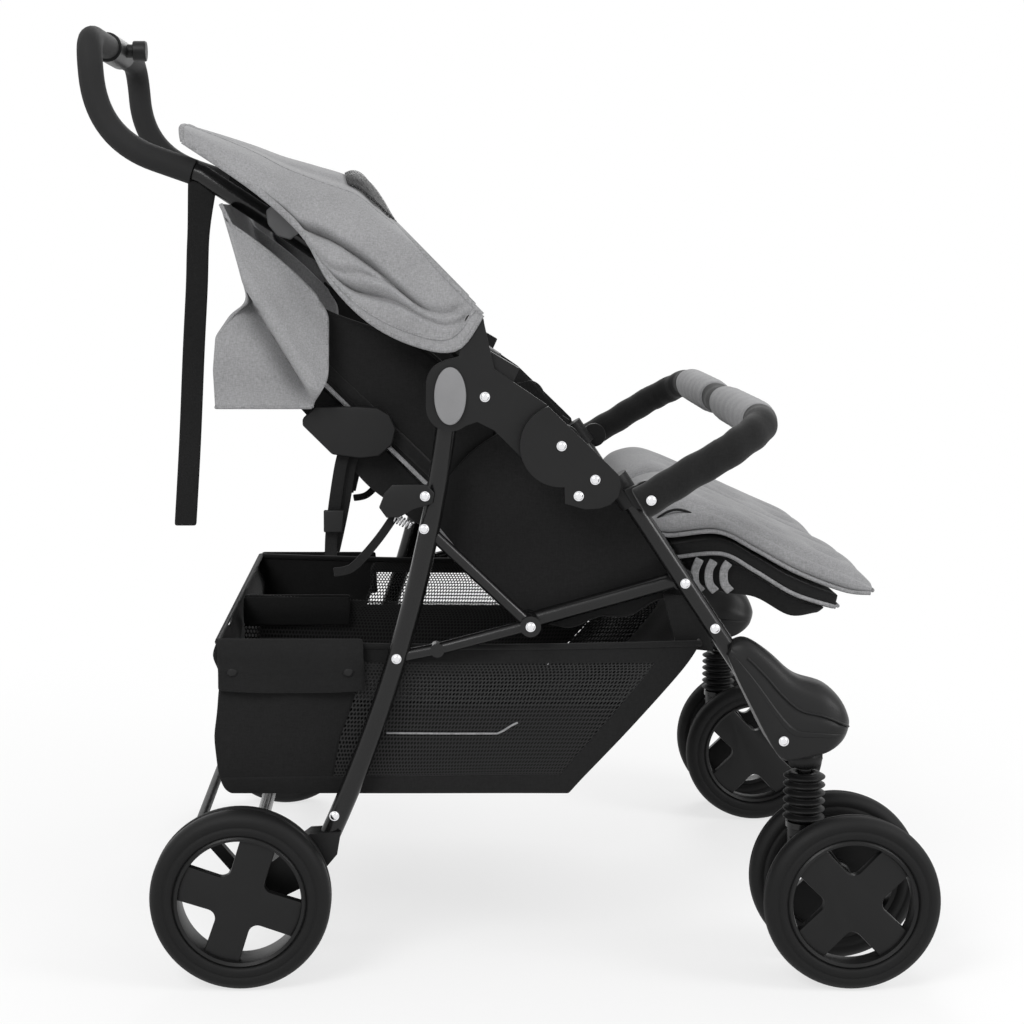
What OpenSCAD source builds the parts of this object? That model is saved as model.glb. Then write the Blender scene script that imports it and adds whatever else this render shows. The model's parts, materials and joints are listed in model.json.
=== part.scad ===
// Side-by-side twin pram. X runs forward, Y to the left, Z up from the ground.

/* [Frame] */
// Distance from the middle of the pram to the centre line of each side's legs
leg_y = 298; // [270:1:320]
// Radius of the front leg tube
front_leg_r = 9.5; // [8:0.5:10.5]
// Radius of the bowed rear leg tube
rear_leg_r = 11; // [9:0.5:11.5]
// How far the rear leg bows forward of a straight line
rear_leg_bow = 22; // [14:1:30]
// Radius of the two struts that brace the rear leg
strut_r = 6.5; // [5:0.5:8]
// Radius of the seat rail tubes
rail_r = 9; // [7:0.5:9]
// Thickness of the upper knuckle plate
plate_t = 7; // [5:0.5:9]
// Thickness of the lower knuckle lobe
lobe_t = 10; // [7:0.5:13]
// Radius of the frame's pivot pins
pin_r = 5; // [4:0.5:6]

/* [Handle] */
// Radius of the handle tube
handle_r = 11; // [9:0.5:12]
// Thickness of the foam grip on the handle tube
foam_t = 3; // [2:0.5:5]
// Height of the handle's crossbar above the ground
handle_z = 1002; // [980:1:1040]
// Distance from the middle to each side of the handle at the grips
handle_y = 190; // [170:1:210]
// Travel of the fold-release button
button_travel = 5; // [3:0.5:6]

/* [Rear wheels] */
// Radius of a rear wheel over its tyre
rear_wheel_r = 95; // [88:1:100]
// Width of a rear wheel
rear_wheel_w = 42; // [36:1:46]
// Depth of the rear tyre, tread to rim
rear_tyre_t = 25; // [20:1:28]

/* [Front wheels] */
// Radius of a front wheel over its tyre
front_wheel_r = 92.5; // [86:0.5:96]
// Width of one front wheel
front_wheel_w = 28; // [22:1:30]
// Depth of the front tyre, tread to rim
front_tyre_t = 24; // [19:1:27]
// Distance from the caster's middle to each of its two wheels
twin_half = 45; // [42:1:48]
// Radius of the caster's wheel axle
front_axle_r = 4; // [3:0.5:5]
// How far the caster's axle sits ahead of its swivel
caster_lead = 43; // [36:1:48]
// Travel of the front suspension
suspension_travel = 8; // [4:1:10]

// Width of a wheel's flat spokes
spoke_w = 40; // [28:1:46]

/* [Bumper] */
// Radius of the wrapped bumper bar
bumper_r = 18; // [14:0.5:20]
// Length of each bumper arm from its bolt to the crossbar
bumper_reach = 144; // [130:1:160]
// Slope of the bumper arms
bumper_slope = 31; // [24:1:38]

/* [Soft goods] */
// Gap between the two seats
seat_gap = 24; // [16:1:40]
// Thickness of the fabric solids
cloth_t = 4; // [3:0.5:6]
// Number of ribs on the suspension bellows
bellows_ribs = 6; // [4:1:8]
// Depth of the sewn tufts in the leg rest pads
tuft_depth = 8; // [4:1:10]
// Height of the basket floor above the ground
basket_floor = 188; // [180:1:210]

/* [Hidden] */
$fn = 64;
run_clear = 0.05;
seat_clear = 0.1;
face_gap = 0.4;
soft_gap = 0.6;
sleeve_t = 4;
curtain_room = 25;

// Pivots of the folding frame, as [x, z] on the side of the pram
pivot_a = [-54, 620];
pivot_b = [61, 569];
pivot_c = [193, 422];
pivot_e = [31, 376];
leg_foot = [-192, 126];
rear_axle = [-273, rear_wheel_r];
front_axle_z = front_wheel_r;
swivel_x = 323;
front_axle_x = swivel_x + caster_lead;
leg_dir = unit2([0.555, -0.832]);
lobe_end = pivot_c - 130 * leg_dir;
leg_end = pivot_c + 174 * leg_dir;
leg_bolt = pivot_c + 57.7 * leg_dir;
rail_dir = unit2(pivot_c - pivot_e);
recline_at = pivot_e + 20 * rail_dir;
recline_slope = 135.3;
back_len = 410;
crossbar_at = pivot_c - 21.6 * leg_dir;
hood_pivot = [-29, 696];
bumper_at = [151, 516];
cover_bolt = [293, 262];
lobe_bolts = [[96, 534], [79, 517]];

// Planes of the side frame, from the middle outwards
plate_y = leg_y + rear_leg_r + soft_gap;
lobe_y = plate_y + plate_t + face_gap;
lobe_out = lobe_y + lobe_t;
rail_y = leg_y - rear_leg_r - 2 - rail_r;
panel_out = rail_y - rail_r - soft_gap;
panel_in = panel_out - cloth_t;
pad_out = panel_in - face_gap;
pad_in = seat_gap / 2;
basket_y = leg_y - rear_leg_r - soft_gap;
rear_wheel_in = plate_y + 8.4;
rear_wheel_y = rear_wheel_in + rear_wheel_w / 2;
carrier_in = leg_y - 14;
carrier_out = leg_y + 14;
caster_y = leg_y + 3;
cover_half = 43;
yoke_half = twin_half - front_wheel_w / 2 - 0.5;
socket_in = leg_y + front_leg_r + sleeve_t + face_gap;
socket_t = 6;
bumper_y = socket_in + socket_t + face_gap + bumper_r;
crossbar_r = 8;
rod_r = 5;
tyre_chamfer = 6;

// Rear leg arc, from its eye at the knuckle to its foot in the axle carrier
leg_chord = leg_foot - pivot_a;
leg_half = norm(leg_chord) / 2;
leg_arc_r = (leg_half * leg_half + rear_leg_bow * rear_leg_bow) / (2 * rear_leg_bow);
leg_out = unit2([-leg_chord.y, leg_chord.x]);
leg_centre = (pivot_a + leg_foot) / 2 + (rear_leg_bow - leg_arc_r) * leg_out;
leg_start = atan2(leg_foot.y - leg_centre.y, leg_foot.x - leg_centre.x);
leg_sweep = 2 * asin(leg_half / leg_arc_r);

// Handle route: knuckle socket, lower grip bend, top corner
handle_start = [-8, leg_y - 12, 650];
grip_start = [-322, handle_y, 851];
grip_bend = [-437, handle_y - 8, handle_z - 111];
handle_corner = [-446, handle_y - 4, handle_z];
grip_end_y = 52;
handle_dir = unit2(grip_start - handle_start);

function unit2(v) = v / norm(v);
function mix(a, b, t) = a + (b - a) * t;
function flip_y(p) = [p.x, -p.y, p.z];
function reverse(list) = [for (i = [len(list) - 1:-1:0]) list[i]];

// Points of a rounded corner at b, starting and ending at distance t from it
function corner(a, b, c, t, n) =
    let (p = b + t * unit2(a - b), q = b + t * unit2(c - b))
    [for (i = [0:n]) let (u = i / n) (1 - u) * (1 - u) * p + 2 * u * (1 - u) * b + u * u * q];

// Point at share t along a list of stations
function along(list, t) =
    let (f = min(max(t, 0), 1) * (len(list) - 1), i = min(floor(f), len(list) - 2))
    mix(list[i], list[i + 1], f - i);

function grip_route() = concat(
    [grip_start],
    corner(grip_start, grip_bend, handle_corner, 68, 5),
    corner(grip_bend, handle_corner, flip_y(handle_corner), 42, 5),
    [[handle_corner.x, grip_end_y, handle_z]]);
function foam_route() = let (all = grip_route(), first = grip_start + 10 * unit2(grip_bend - grip_start))
    concat([first], [for (i = [1:len(all) - 1]) all[i]]);
function handle_route() = concat(
    [handle_start], grip_route(), [for (p = reverse(grip_route())) flip_y(p)], [flip_y(handle_start)]);

// Ring of points round a route, square to its direction
function ring(route, i, r, n) =
    let (
        a = route[max(i - 1, 0)],
        b = route[min(i + 1, len(route) - 1)],
        t = unit2(b - a),
        n1 = unit2(cross(t, [1, 0, 0])),
        n2 = cross(t, n1))
    [for (j = [0:n - 1]) route[i] + r * (cos(360 * j / n) * n1 + sin(360 * j / n) * n2)];

module swept_rod(route, r, n) {
    count = len(route);
    points = [for (i = [0:count - 1]) each ring(route, i, r, n)];
    sides = [for (i = [0:count - 2]) for (j = [0:n - 1])
        let (a = i * n + j, b = i * n + (j + 1) % n)
        each [[a, a + n, b + n], [a, b + n, b]]];
    first = [for (j = [1:n - 2]) [0, j, j + 1]];
    last = [for (j = [1:n - 2]) let (o = (count - 1) * n) [o, o + j + 1, o + j]];
    polyhedron(concat(points), concat(sides, first, last));
}

module swept_tube(route, r_out, r_in, n) {
    count = len(route);
    m = count * n;
    points = concat(
        [for (i = [0:count - 1]) each ring(route, i, r_out, n)],
        [for (i = [0:count - 1]) each ring(route, i, r_in, n)]);
    walls = [for (i = [0:count - 2]) for (j = [0:n - 1])
        let (a = i * n + j, b = i * n + (j + 1) % n)
        each [[a, a + n, b + n], [a, b + n, b],
            [m + a, m + b + n, m + a + n], [m + a, m + b, m + b + n]]];
    ends = [for (j = [0:n - 1])
        let (b = (j + 1) % n, o = (count - 1) * n)
        each [[j, b, m + b], [j, m + b, m + j],
            [o + j, m + o + b, o + b], [o + j, m + o + j, m + o + b]]];
    polyhedron(points, concat(walls, ends));
}

// Closed solid between two grids of points that share their outline's order
module closed_shell(top, bottom) {
    rows = len(top);
    cols = len(top[0]);
    m = rows * cols;
    points = concat([for (row = top) each row], [for (row = bottom) each row]);
    skins = [for (i = [0:rows - 2]) for (j = [0:cols - 2])
        let (a = i * cols + j, b = a + 1, c = a + cols, d = c + 1)
        each [[a, b, d], [a, d, c], [m + a, m + d, m + b], [m + a, m + c, m + d]]];
    long_edges = [for (i = [0:rows - 2])
        let (a = i * cols, c = a + cols, b = a + cols - 1, d = c + cols - 1)
        each [[a, c, m + c], [a, m + c, m + a], [b, m + d, d], [b, m + b, m + d]]];
    short_edges = [for (j = [0:cols - 2])
        let (a = j, b = j + 1, c = (rows - 1) * cols + j, d = c + 1)
        each [[a, m + b, b], [a, m + a, m + b], [c, d, m + d], [c, m + d, m + c]]];
    polyhedron(points, concat(skins, long_edges, short_edges));
}

// Left-hand piece, or its mirror image for the right
module side(is_left) {
    if (is_left) children();
    else mirror([0, 1, 0]) children();
}
module both_sides() {
    children();
    mirror([0, 1, 0]) children();
}

// Flat shape drawn in X and Z, thickened from y0 to y1
module slab(y0, y1) {
    translate([0, y1, 0]) rotate([90, 0, 0]) linear_extrude(y1 - y0) children();
}
module ybar(at, r, y0, y1) {
    translate([at.x, y0, at.y]) rotate([-90, 0, 0]) cylinder(r = r, h = y1 - y0);
}
module rod(p, q, r) {
    d = q - p;
    translate(p) rotate([0, acos(d.z / norm(d)), atan2(d.y, d.x)]) cylinder(r = r, h = norm(d));
}
module leg_rod(from, to, r) {
    rod([from.x, leg_y, from.y], [to.x, leg_y, to.y], r);
}
module stadium(at, half, r) {
    translate([at.x - r, at.y - half]) square([2 * r, 2 * half]);
    translate([at.x, at.y - half]) circle(r);
    translate([at.x, at.y + half]) circle(r);
}
module bolt(at, y) {
    ybar(at, 6, y, y + 2);
    ybar(at, 4.2, y + 2, y + 3.6);
}

// Front frame
module front_leg(is_left) {
    color("#1c1c1e") side(is_left) {
        leg_rod(lobe_end, leg_end, front_leg_r);
        ybar(pivot_c, pin_r, rail_y - rail_r, leg_y);
    }
}
module front_lobe(is_left) {
    color("#262628") side(is_left) difference() {
        union() {
            slab(lobe_y, lobe_out) {
                intersection() {
                    translate(pivot_b) circle(43);
                    polygon([[0, 500], [0, 650], [46, 611], [107, 552], [118, 533], [89, 507], [65, 507]]);
                }
                polygon([[61, 595], [107, 552], [120, 539], [123, 528], [120, 516], [112, 508], [101, 504],
                    [86, 503], [65, 509]]);
            }
            slab(leg_y, lobe_y + 1) polygon([[101, 548], [116, 538], [118, 515], [106, 510]]);
            leg_rod(lobe_end - 4 * leg_dir, lobe_end + 30 * leg_dir, front_leg_r + sleeve_t);
            ybar(pivot_b, pin_r, plate_y - 2, lobe_y + 1);
        }
        leg_rod(lobe_end, lobe_end + 60 * leg_dir, front_leg_r + seat_clear);
    }
}
module front_cover(is_left) {
    color("#2b2b2d") side(is_left) difference() {
        union() {
            intersection() {
                slab(caster_y - cover_half, caster_y + cover_half) polygon([
                    [235, 346], [242, 356], [255, 366], [swivel_x - 19, 333], [swivel_x + 26, 308],
                    [swivel_x + 47, 273], [swivel_x + 44, 261], [swivel_x + 21, 248], [swivel_x + 2, 244],
                    [swivel_x - 31, 229], [279, 255], [252, 298]]);
                translate([0, caster_y, 200]) linear_extrude(200) {
                    translate([225, -cover_half]) square([swivel_x + 4 - 225, 2 * cover_half]);
                    translate([swivel_x + 4, 0]) circle(cover_half);
                }
            }
            translate([swivel_x, caster_y, 219]) cylinder(r = 19, h = 40);
        }
        leg_rod(lobe_end, leg_end, front_leg_r + seat_clear);
        translate([swivel_x, caster_y, 200]) cylinder(r = 7 + run_clear, h = 66 + suspension_travel + 2);
    }
}
module front_crossbar() {
    color("#1c1c1e") {
        span = leg_y - front_leg_r - seat_clear;
        ybar(crossbar_at, crossbar_r, -span, span);
    }
}
module bumper_sockets() {
    color("#262628") both_sides() {
        slab(socket_in, socket_in + socket_t) {
            translate(bumper_at) circle(16);
            polygon([[126, 522], [151, 532], [151, 500], [138, 503]]);
        }
        ybar(bumper_at, pin_r, socket_in + socket_t - 1, bumper_y + bumper_r - 3);
    }
}
module basket() {
    color("#18181a") {
        wall = [[-303, 356], [-305, 330], [-300, basket_floor + 14], [-292, basket_floor], [75, basket_floor],
            [214, 348], [214, 356]];
        room = [[-299, 400], [-301, 330], [-296, basket_floor + 16], [-290, basket_floor + cloth_t],
            [73, basket_floor + cloth_t], [210, 350], [210, 400]];
        difference() {
            slab(-basket_y, basket_y) polygon(wall);
            slab(cloth_t / 2, basket_y - cloth_t) polygon(room);
            slab(cloth_t - basket_y, -cloth_t / 2) polygon(room);
        }
    }
}
module front_bolts() {
    color("silver") both_sides() {
        for (at = concat(lobe_bolts, [pivot_b])) bolt(at, lobe_out);
        for (at = [pivot_c, leg_bolt]) bolt(at, leg_y + front_leg_r);
        bolt(cover_bolt, caster_y + cover_half);
    }
}

// Handle frame
module handle_tube() {
    color("#1c1c1e") swept_rod(handle_route(), handle_r, 12);
}
module handle_grips() {
    color("#38383a") both_sides()
        swept_tube(foam_route(), handle_r + foam_t, (handle_r + seat_clear) / cos(180 / 12), 12);
}
module knuckle(is_left) {
    sleeve_end = handle_start + 66 * handle_dir;
    color("#262628") side(is_left) difference() {
        union() {
            slab(plate_y, plate_y + plate_t) {
                polygon([[-32, 664], [46, 611], [61, 591], [61, 547], [32, 537], [20, 556],
                    [-8, 584], [-26, 593], [-54, 583], [-79, 608], [-79, 632], [-60, 657]]);
                translate(pivot_b) circle(22);
                stadium(pivot_a, 12, 25);
                translate(hood_pivot) circle(10);
                polygon([[-39, 696], [-19, 696], [-8, 646], [-46, 656]]);
            }
            slab(leg_y - 10, plate_y + 1) polygon([[-22, 644], [10, 630], [18, 648], [-16, 668]]);
            rod(handle_start, sleeve_end, handle_r + 3.5);
            ybar(pivot_a, pin_r, leg_y - rear_leg_r - 0.5, plate_y + 1);
            ybar(hood_pivot, 4, hood_out + soft_gap, plate_y + 1);
        }
        rod(handle_start, sleeve_end + 40 * handle_dir, handle_r + seat_clear);
        ybar(pivot_b, pin_r + run_clear, plate_y - 1, plate_y + plate_t + 1);
    }
}
module pivot_caps() {
    color("#9c9c9c") both_sides()
        slab(plate_y + plate_t, plate_y + plate_t + 4) stadium(pivot_a, 13.5, 16);
}
module handle_hub() {
    at = [handle_corner.x, handle_z];
    color("#262628") {
        difference() {
            ybar(at, handle_r + 6, seat_clear - grip_end_y, grip_end_y - seat_clear);
            ybar(at, handle_r + seat_clear, -grip_end_y - 1, grip_end_y + 1);
        }
        rod([at.x + handle_r + 4, 0, at.y], [at.x + handle_r + 18, 0, at.y], 8);
    }
}
module fold_button() {
    at = handle_corner.x + handle_r + 6 + button_travel + 0.5;
    depth = 7 + button_travel;
    color("#2b2b2d") difference() {
        rod([at, 0, handle_z], [at + 16, 0, handle_z], 12);
        rod([at - 1, 0, handle_z], [at + depth, 0, handle_z], 8 + run_clear);
    }
}
module carry_strap() {
    strap_y = handle_y + 5.5;
    color("#1a1a1c") slab(-strap_y - 1, -strap_y + 1) polygon([
        [grip_start.x - 12, 841], [grip_start.x + 12, 830.3], [curtain_waist - 50, 740],
        [curtain_waist - 65, 467], [curtain_waist - 91, 467], [curtain_waist - 75, 740]]);
}
// Waist of the curtains, behind the top of the backrest frames
curtain_waist = on_back(back_len, 0).x - curtain_room;
// Slope of a curtain's back, as [z, x]: it hangs in from the tube to the waist and bags out at the bottom
curtain_back = [[606, curtain_waist - 35], [645, curtain_waist - 37], [680, curtain_waist - 34],
    [703, curtain_waist - 18], [716, curtain_waist], [760, (curtain_waist - 288) / 2], [818, -294]];
curtain_low = 606;
// Point of a curtain at share v round its route and share h up it
function curtain_point(v, h, inset) =
    let (
        y0 = pad_in - 8 + inset,
        y1 = leg_y - 6 - inset,
        on_side = v < 0.25 || v > 0.75,
        reach = v < 0.25 ? v / 0.25 : (1 - v) / 0.25,
        z = mix(curtain_low, on_side ? mix(707, 800, reach) : 818, h),
        back = lookup(z, curtain_back) + inset,
        fold = 4 * sin(360 * 3.5 * v) * sin(360 * (v - 0.25)))
    on_side ? [mix(-186, back, reach), v < 0.5 ? y1 : y0, z]
    : [back + fold, mix(y1, y0, (v - 0.25) / 0.5), z];
function curtain_grid(inset) = [for (h = [0:7]) [for (j = [0:20]) curtain_point(j / 20, h / 7, inset)]];
module rear_curtains() {
    color("#a2a2a2") both_sides() closed_shell(curtain_grid(0), curtain_grid(3));
}

// Rear frame
module leg_arc(r) {
    translate([leg_centre.x, leg_y, leg_centre.y]) rotate([90, 0, 0])
        rotate_extrude(angle = leg_sweep, start = leg_start) translate([leg_arc_r, 0]) circle(r);
}
module rear_leg(is_left) {
    strut_top = [-77, 478];
    link_knee = [-67, 350];
    link_end = [-108, 342];
    color("#1c1c1e") side(is_left) difference() {
        union() {
            leg_arc(rear_leg_r);
            ybar(pivot_a, 14, leg_y - rear_leg_r + 0.5, leg_y + rear_leg_r - 0.5);
            leg_rod(pivot_e, strut_top, strut_r);
            leg_rod(pivot_e, link_knee, strut_r);
            leg_rod(link_knee, link_end, strut_r);
            ybar(link_knee, strut_r + 1, leg_y - strut_r - 1, leg_y + strut_r + 1);
            ybar(pivot_e, 11, leg_y - rear_leg_r, leg_y + rear_leg_r);
        }
        ybar(pivot_a, pin_r + run_clear, leg_y - 20, leg_y + 20);
    }
}
module rear_carriers() {
    color("#262628") both_sides() difference() {
        slab(carrier_in, carrier_out) {
            polygon([[-169, 156], [-173, 132], [-198, 102], [-250, 76], [-273, 75], [-273, 115], [-250, 118],
                [-202, 154]]);
            translate(rear_axle) circle(20);
        }
        leg_arc(rear_leg_r + seat_clear);
        ybar(rear_axle, crossbar_r + seat_clear, carrier_in - 1, carrier_out + 1);
    }
}
module rear_axle_bar() {
    color("#8a8a8c") {
        ybar(rear_axle, crossbar_r, -carrier_out - 0.5, carrier_out + 0.5);
        both_sides() ybar(rear_axle, 6, carrier_out, rear_wheel_in + rear_wheel_w - 8);
    }
}
module brake_bar() {
    bar = [-323, 153];
    reach = bar - rear_axle;
    color("#2b2b2d") {
        difference() {
            union() both_sides() slab(carrier_in - 12, carrier_in - 1) {
                translate(rear_axle) circle(14);
                translate(rear_axle) rotate(atan2(reach.y, reach.x)) translate([0, -6]) square([norm(reach), 12]);
                translate(bar) circle(8);
            }
            ybar(rear_axle, crossbar_r + run_clear, -carrier_in, carrier_in);
        }
        ybar(bar, 5.5, 12 - carrier_in, carrier_in - 12);
    }
}

// Wheels, drawn round their own axis with the outer face up
module tyre(r, w, t) {
    h = w / 2;
    rotate_extrude() polygon([
        [r - t, 2 - h], [r - t, h - 2], [r - 1.5 * tyre_chamfer, h], [r - tyre_chamfer / 3, h - tyre_chamfer],
        [r, h - 2 * tyre_chamfer], [r, 2 * tyre_chamfer - h], [r - tyre_chamfer / 3, tyre_chamfer - h],
        [r - 1.5 * tyre_chamfer, -h]]);
}
module rim(r, w, t, bore, turn) {
    outer = r - t - seat_clear;
    tip = sqrt(pow(outer - 0.5, 2) - spoke_w * spoke_w / 4);
    difference() {
        union() {
            difference() {
                translate([0, 0, 3 - w / 2]) cylinder(r = outer, h = w - 6);
                translate([0, 0, -w]) cylinder(r = outer - 5, h = 2 * w);
            }
            translate([0, 0, w / 2 - 16]) linear_extrude(9) {
                rotate(turn) translate([-tip, -spoke_w / 2]) square([2 * tip, spoke_w]);
                rotate(turn + 90) translate([-tip, -spoke_w / 2]) square([2 * tip, spoke_w]);
                circle(0.7 * spoke_w);
            }
            translate([0, 0, 0.5 - w / 2]) cylinder(r = 17, h = w - 2.5);
        }
        translate([0, 0, -w]) cylinder(r = bore + run_clear, h = 1.5 * w - 6);
    }
}
module on_rear_axle(is_left) {
    side(is_left) translate([rear_axle.x, rear_wheel_y, rear_axle.y]) rotate([-90, 0, 0]) children();
}
module on_front_axle(is_left, is_outer) {
    y = caster_y + (is_outer ? twin_half : -twin_half);
    side(is_left) translate([front_axle_x, y, front_axle_z]) rotate([is_outer ? -90 : 90, 0, 0]) children();
}
module rear_tyre(is_left) {
    color("#1f1f21") on_rear_axle(is_left) tyre(rear_wheel_r, rear_wheel_w, rear_tyre_t);
}
module rear_rim(is_left) {
    color("#2b2b2d") on_rear_axle(is_left) rim(rear_wheel_r, rear_wheel_w, rear_tyre_t, 6, 15);
}
module front_tyre(is_left, is_outer) {
    color("#1f1f21") on_front_axle(is_left, is_outer) tyre(front_wheel_r, front_wheel_w, front_tyre_t);
}
module front_rim(is_left, is_outer) {
    color("#2b2b2d") on_front_axle(is_left, is_outer)
        rim(front_wheel_r, front_wheel_w, front_tyre_t, front_axle_r, 45);
}

// Front suspension and casters
module on_swivel(is_left) {
    side(is_left) translate([swivel_x, caster_y, 0]) children();
}
module front_slider(is_left) {
    color("#8a8a8c") on_swivel(is_left) {
        translate([0, 0, 118]) cylinder(r = pin_r, h = 44);
        translate([0, 0, 160]) cylinder(r = 19, h = 6);
        translate([0, 0, 165]) cylinder(r = 7, h = 97);
    }
}
module bellows(is_left) {
    low = 166 + soft_gap / 2;
    step = (219 - soft_gap / 2 - low) / (2 * bellows_ribs);
    color("#1a1a1c") on_swivel(is_left) rotate_extrude() polygon(concat(
        [[9, low]],
        [for (i = [0:2 * bellows_ribs]) [i % 2 == 0 ? 16 : 22, low + i * step]],
        [[9, low + 2 * bellows_ribs * step]]));
}
module caster_yoke(is_left) {
    color("#2b2b2d") on_swivel(is_left) difference() {
        union() {
            translate([0, 0, 124]) cylinder(r = 17, h = 35.5);
            slab(-20, 20) polygon([[-16, 150], [16, 150], [caster_lead + 12, front_axle_z + 6],
                [caster_lead + 9, front_axle_z - 11], [caster_lead - 10, front_axle_z - 10]]);
            ybar([caster_lead, front_axle_z], 14, -yoke_half, yoke_half);
            ybar([caster_lead, front_axle_z], front_axle_r, -twin_half - 6, twin_half + 6);
        }
        translate([0, 0, 117]) cylinder(r = pin_r + run_clear, h = 60);
    }
}

// Seat
module seat_rails() {
    color("#1c1c1e") {
        both_sides() difference() {
            union() {
                rod([pivot_e.x, rail_y, pivot_e.y], [pivot_c.x, rail_y, pivot_c.y], rail_r);
                ybar(pivot_c, 12, rail_y - rail_r + 1, rail_y + rail_r - 1);
                ybar(pivot_e, 11, rail_y - rail_r + 1, rail_y + rail_r - 1);
            }
            ybar(pivot_c, pin_r + run_clear, rail_y - 20, rail_y + 20);
        }
        ybar(recline_at, rod_r, -rail_y, rail_y);
    }
}
module side_panels() {
    color("#161618") both_sides() slab(panel_in, panel_out) difference() {
        polygon([[52, 596], [100, 536], [162, 440], [186, 404], [176, 396], [140, 388], [95, 386], [60, 372], [30, 366],
            [-30, 430], [-78, 490], [-40, 545], [-10, 580]]);
        translate(recline_at) circle(rod_r + 2);
    }
}

// Pad between two lists of [x, z] stations, drawn in at its sides
function crown(v) = pow(1 - pow(abs(2 * v - 1), 4), 0.5);
function tuft(u, v, spots) = len(spots) == 0 ? 0
    : max([for (s = spots) exp(-pow((u - s.x) / 0.07, 2) - pow((v - s.y) / 0.08, 2))]);
function pad_grid(shape, other, y0, y1, edge, spots, depth, rows, cols) =
    [for (i = [0:rows]) [for (j = [0:cols])
        let (
            u = i / rows,
            v = j / cols,
            p = along(shape, u),
            q = (p + along(other, u)) / 2,
            pinch = 5 * pow(abs(2 * u - 1), 6) + 3,
            full = edge + (1 - edge) * crown(v),
            at = mix(q, p, full) - depth * tuft(u, v, spots) * unit2(p - q),
            y = mix(y0 + pinch - 3, y1 - pinch + 3, v))
        [at.x, y, at.y]]];
module pad(upper, lower, spots, depth) {
    closed_shell(
        pad_grid(upper, lower, pad_in, pad_out, 0.25, spots, depth, 12, 10),
        pad_grid(lower, upper, pad_in, pad_out, 0.6, [], 0, 12, 10));
}
seat_top = [[74, 418], [84, 434], [104, 441], [126, 445], [138, 445], [143, 436]];
seat_low = [[75, 410], [84, 402], [104, 404], [126, 411], [138, 416], [143, 424]];
module seat_pad(is_left) {
    color("#161618") side(is_left) pad(seat_top, seat_low, [], 0);
}

// Backrest, drawn along its slope from the recline rod
function on_back(s, t) = recline_at
    + s * [cos(recline_slope), sin(recline_slope)] + t * [sin(recline_slope), -cos(recline_slope)];
back_in = pad_in + 28;
back_out = pad_out - 28;
module backrest_frame(is_left) {
    top = on_back(back_len, 0);
    color("#1c1c1e") side(is_left) difference() {
        union() {
            for (y = [back_in, back_out]) {
                rod([recline_at.x, y, recline_at.y], [top.x, y, top.y], 6);
                ybar(recline_at, 11, y - 7, y + 7);
            }
            ybar(top, 5.5, back_in, back_out);
        }
        ybar(recline_at, rod_r + run_clear, 0, leg_y);
    }
}
module backrest_pad(is_left) {
    upper = [for (p = [[62, 12], [80, 36], [160, 42], [260, 42], [360, 40], [415, 32], [424, 16]]) on_back(p.x, p.y)];
    lower = [for (p = [[62, 9], [80, 6.6], [160, 6.6], [260, 6.6], [360, 6.6], [413, 7.6], [424, 12]]) on_back(p.x, p.y)];
    channels = [for (u = [0.35, 0.62]) for (v = [0.2:0.15:0.8]) [u, v]];
    color("#161618") side(is_left) pad(upper, lower, channels, 5);
}

// Hood, from its front bow to its rear edge
hood_hem = [[-30, 692], [-54, 670], [-92, 676], [-140, 698], [-182, 745], [-228, 788], [-280, 840], [-330, 884]];
hood_crest = [[-116, 801], [-140, 826], [-162, 846], [-200, 858], [-235, 868], [-266, 880], [-300, 892], [-334, 903]];
hood_out = plate_y - 5;
function hood_grid(inset) = [for (i = [0:14]) [for (j = [0:16])
    let (
        u = i / 14,
        a = 180 * j / 16,
        k = pow(max(sin(a), 0), 0.62),
        h = along(hood_hem, u),
        c = along(hood_crest, u) - inset * [0.4, 0.9],
        at = mix(h, c, k),
        y = (hood_out + pad_in) / 2 + ((hood_out - pad_in) / 2 - inset) * sign(cos(a)) * pow(abs(cos(a)), 0.75))
    [at.x, y, at.y]]];
module hood(is_left) {
    color("#a8a8a8") side(is_left) closed_shell(hood_grid(0), hood_grid(3));
}
module hood_hinge(is_left) {
    color("#262628") side(is_left) difference() {
        ybar(hood_pivot, 9, hood_out + 0.3, plate_y - 0.3);
        ybar(hood_pivot, 4 + run_clear, leg_y, plate_y + 2);
    }
}

// Bumper, drawn flat with its arms along X and then raised to its slope
bumper_bend = 60;
module on_bumper() {
    translate([bumper_at.x, 0, bumper_at.y]) rotate([0, -bumper_slope, 0]) children();
}
module bumper_bar() {
    straight = bumper_reach - bumper_bend;
    color("#1b1b1d") on_bumper() {
        both_sides() difference() {
            rod([-0.7 * bumper_r, bumper_y, 0], [straight, bumper_y, 0], bumper_r);
            translate([0, leg_y, 0]) rotate([-90, 0, 0]) cylinder(r = pin_r + run_clear, h = 100);
        }
        both_sides() translate([straight, bumper_y - bumper_bend, 0])
            rotate_extrude(angle = 90) translate([bumper_bend, 0]) circle(bumper_r);
        rod([bumper_reach, bumper_bend - bumper_y, 0], [bumper_reach, bumper_y - bumper_bend, 0], bumper_r);
    }
}
module bumper_bands() {
    color("#a8a8a8") on_bumper() both_sides() difference() {
        rod([bumper_reach, 36, 0], [bumper_reach, bumper_y - bumper_bend - 6, 0], bumper_r + 3);
        rod([bumper_reach, 0, 0], [bumper_reach, bumper_y, 0], bumper_r + 0.3);
    }
}

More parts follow.
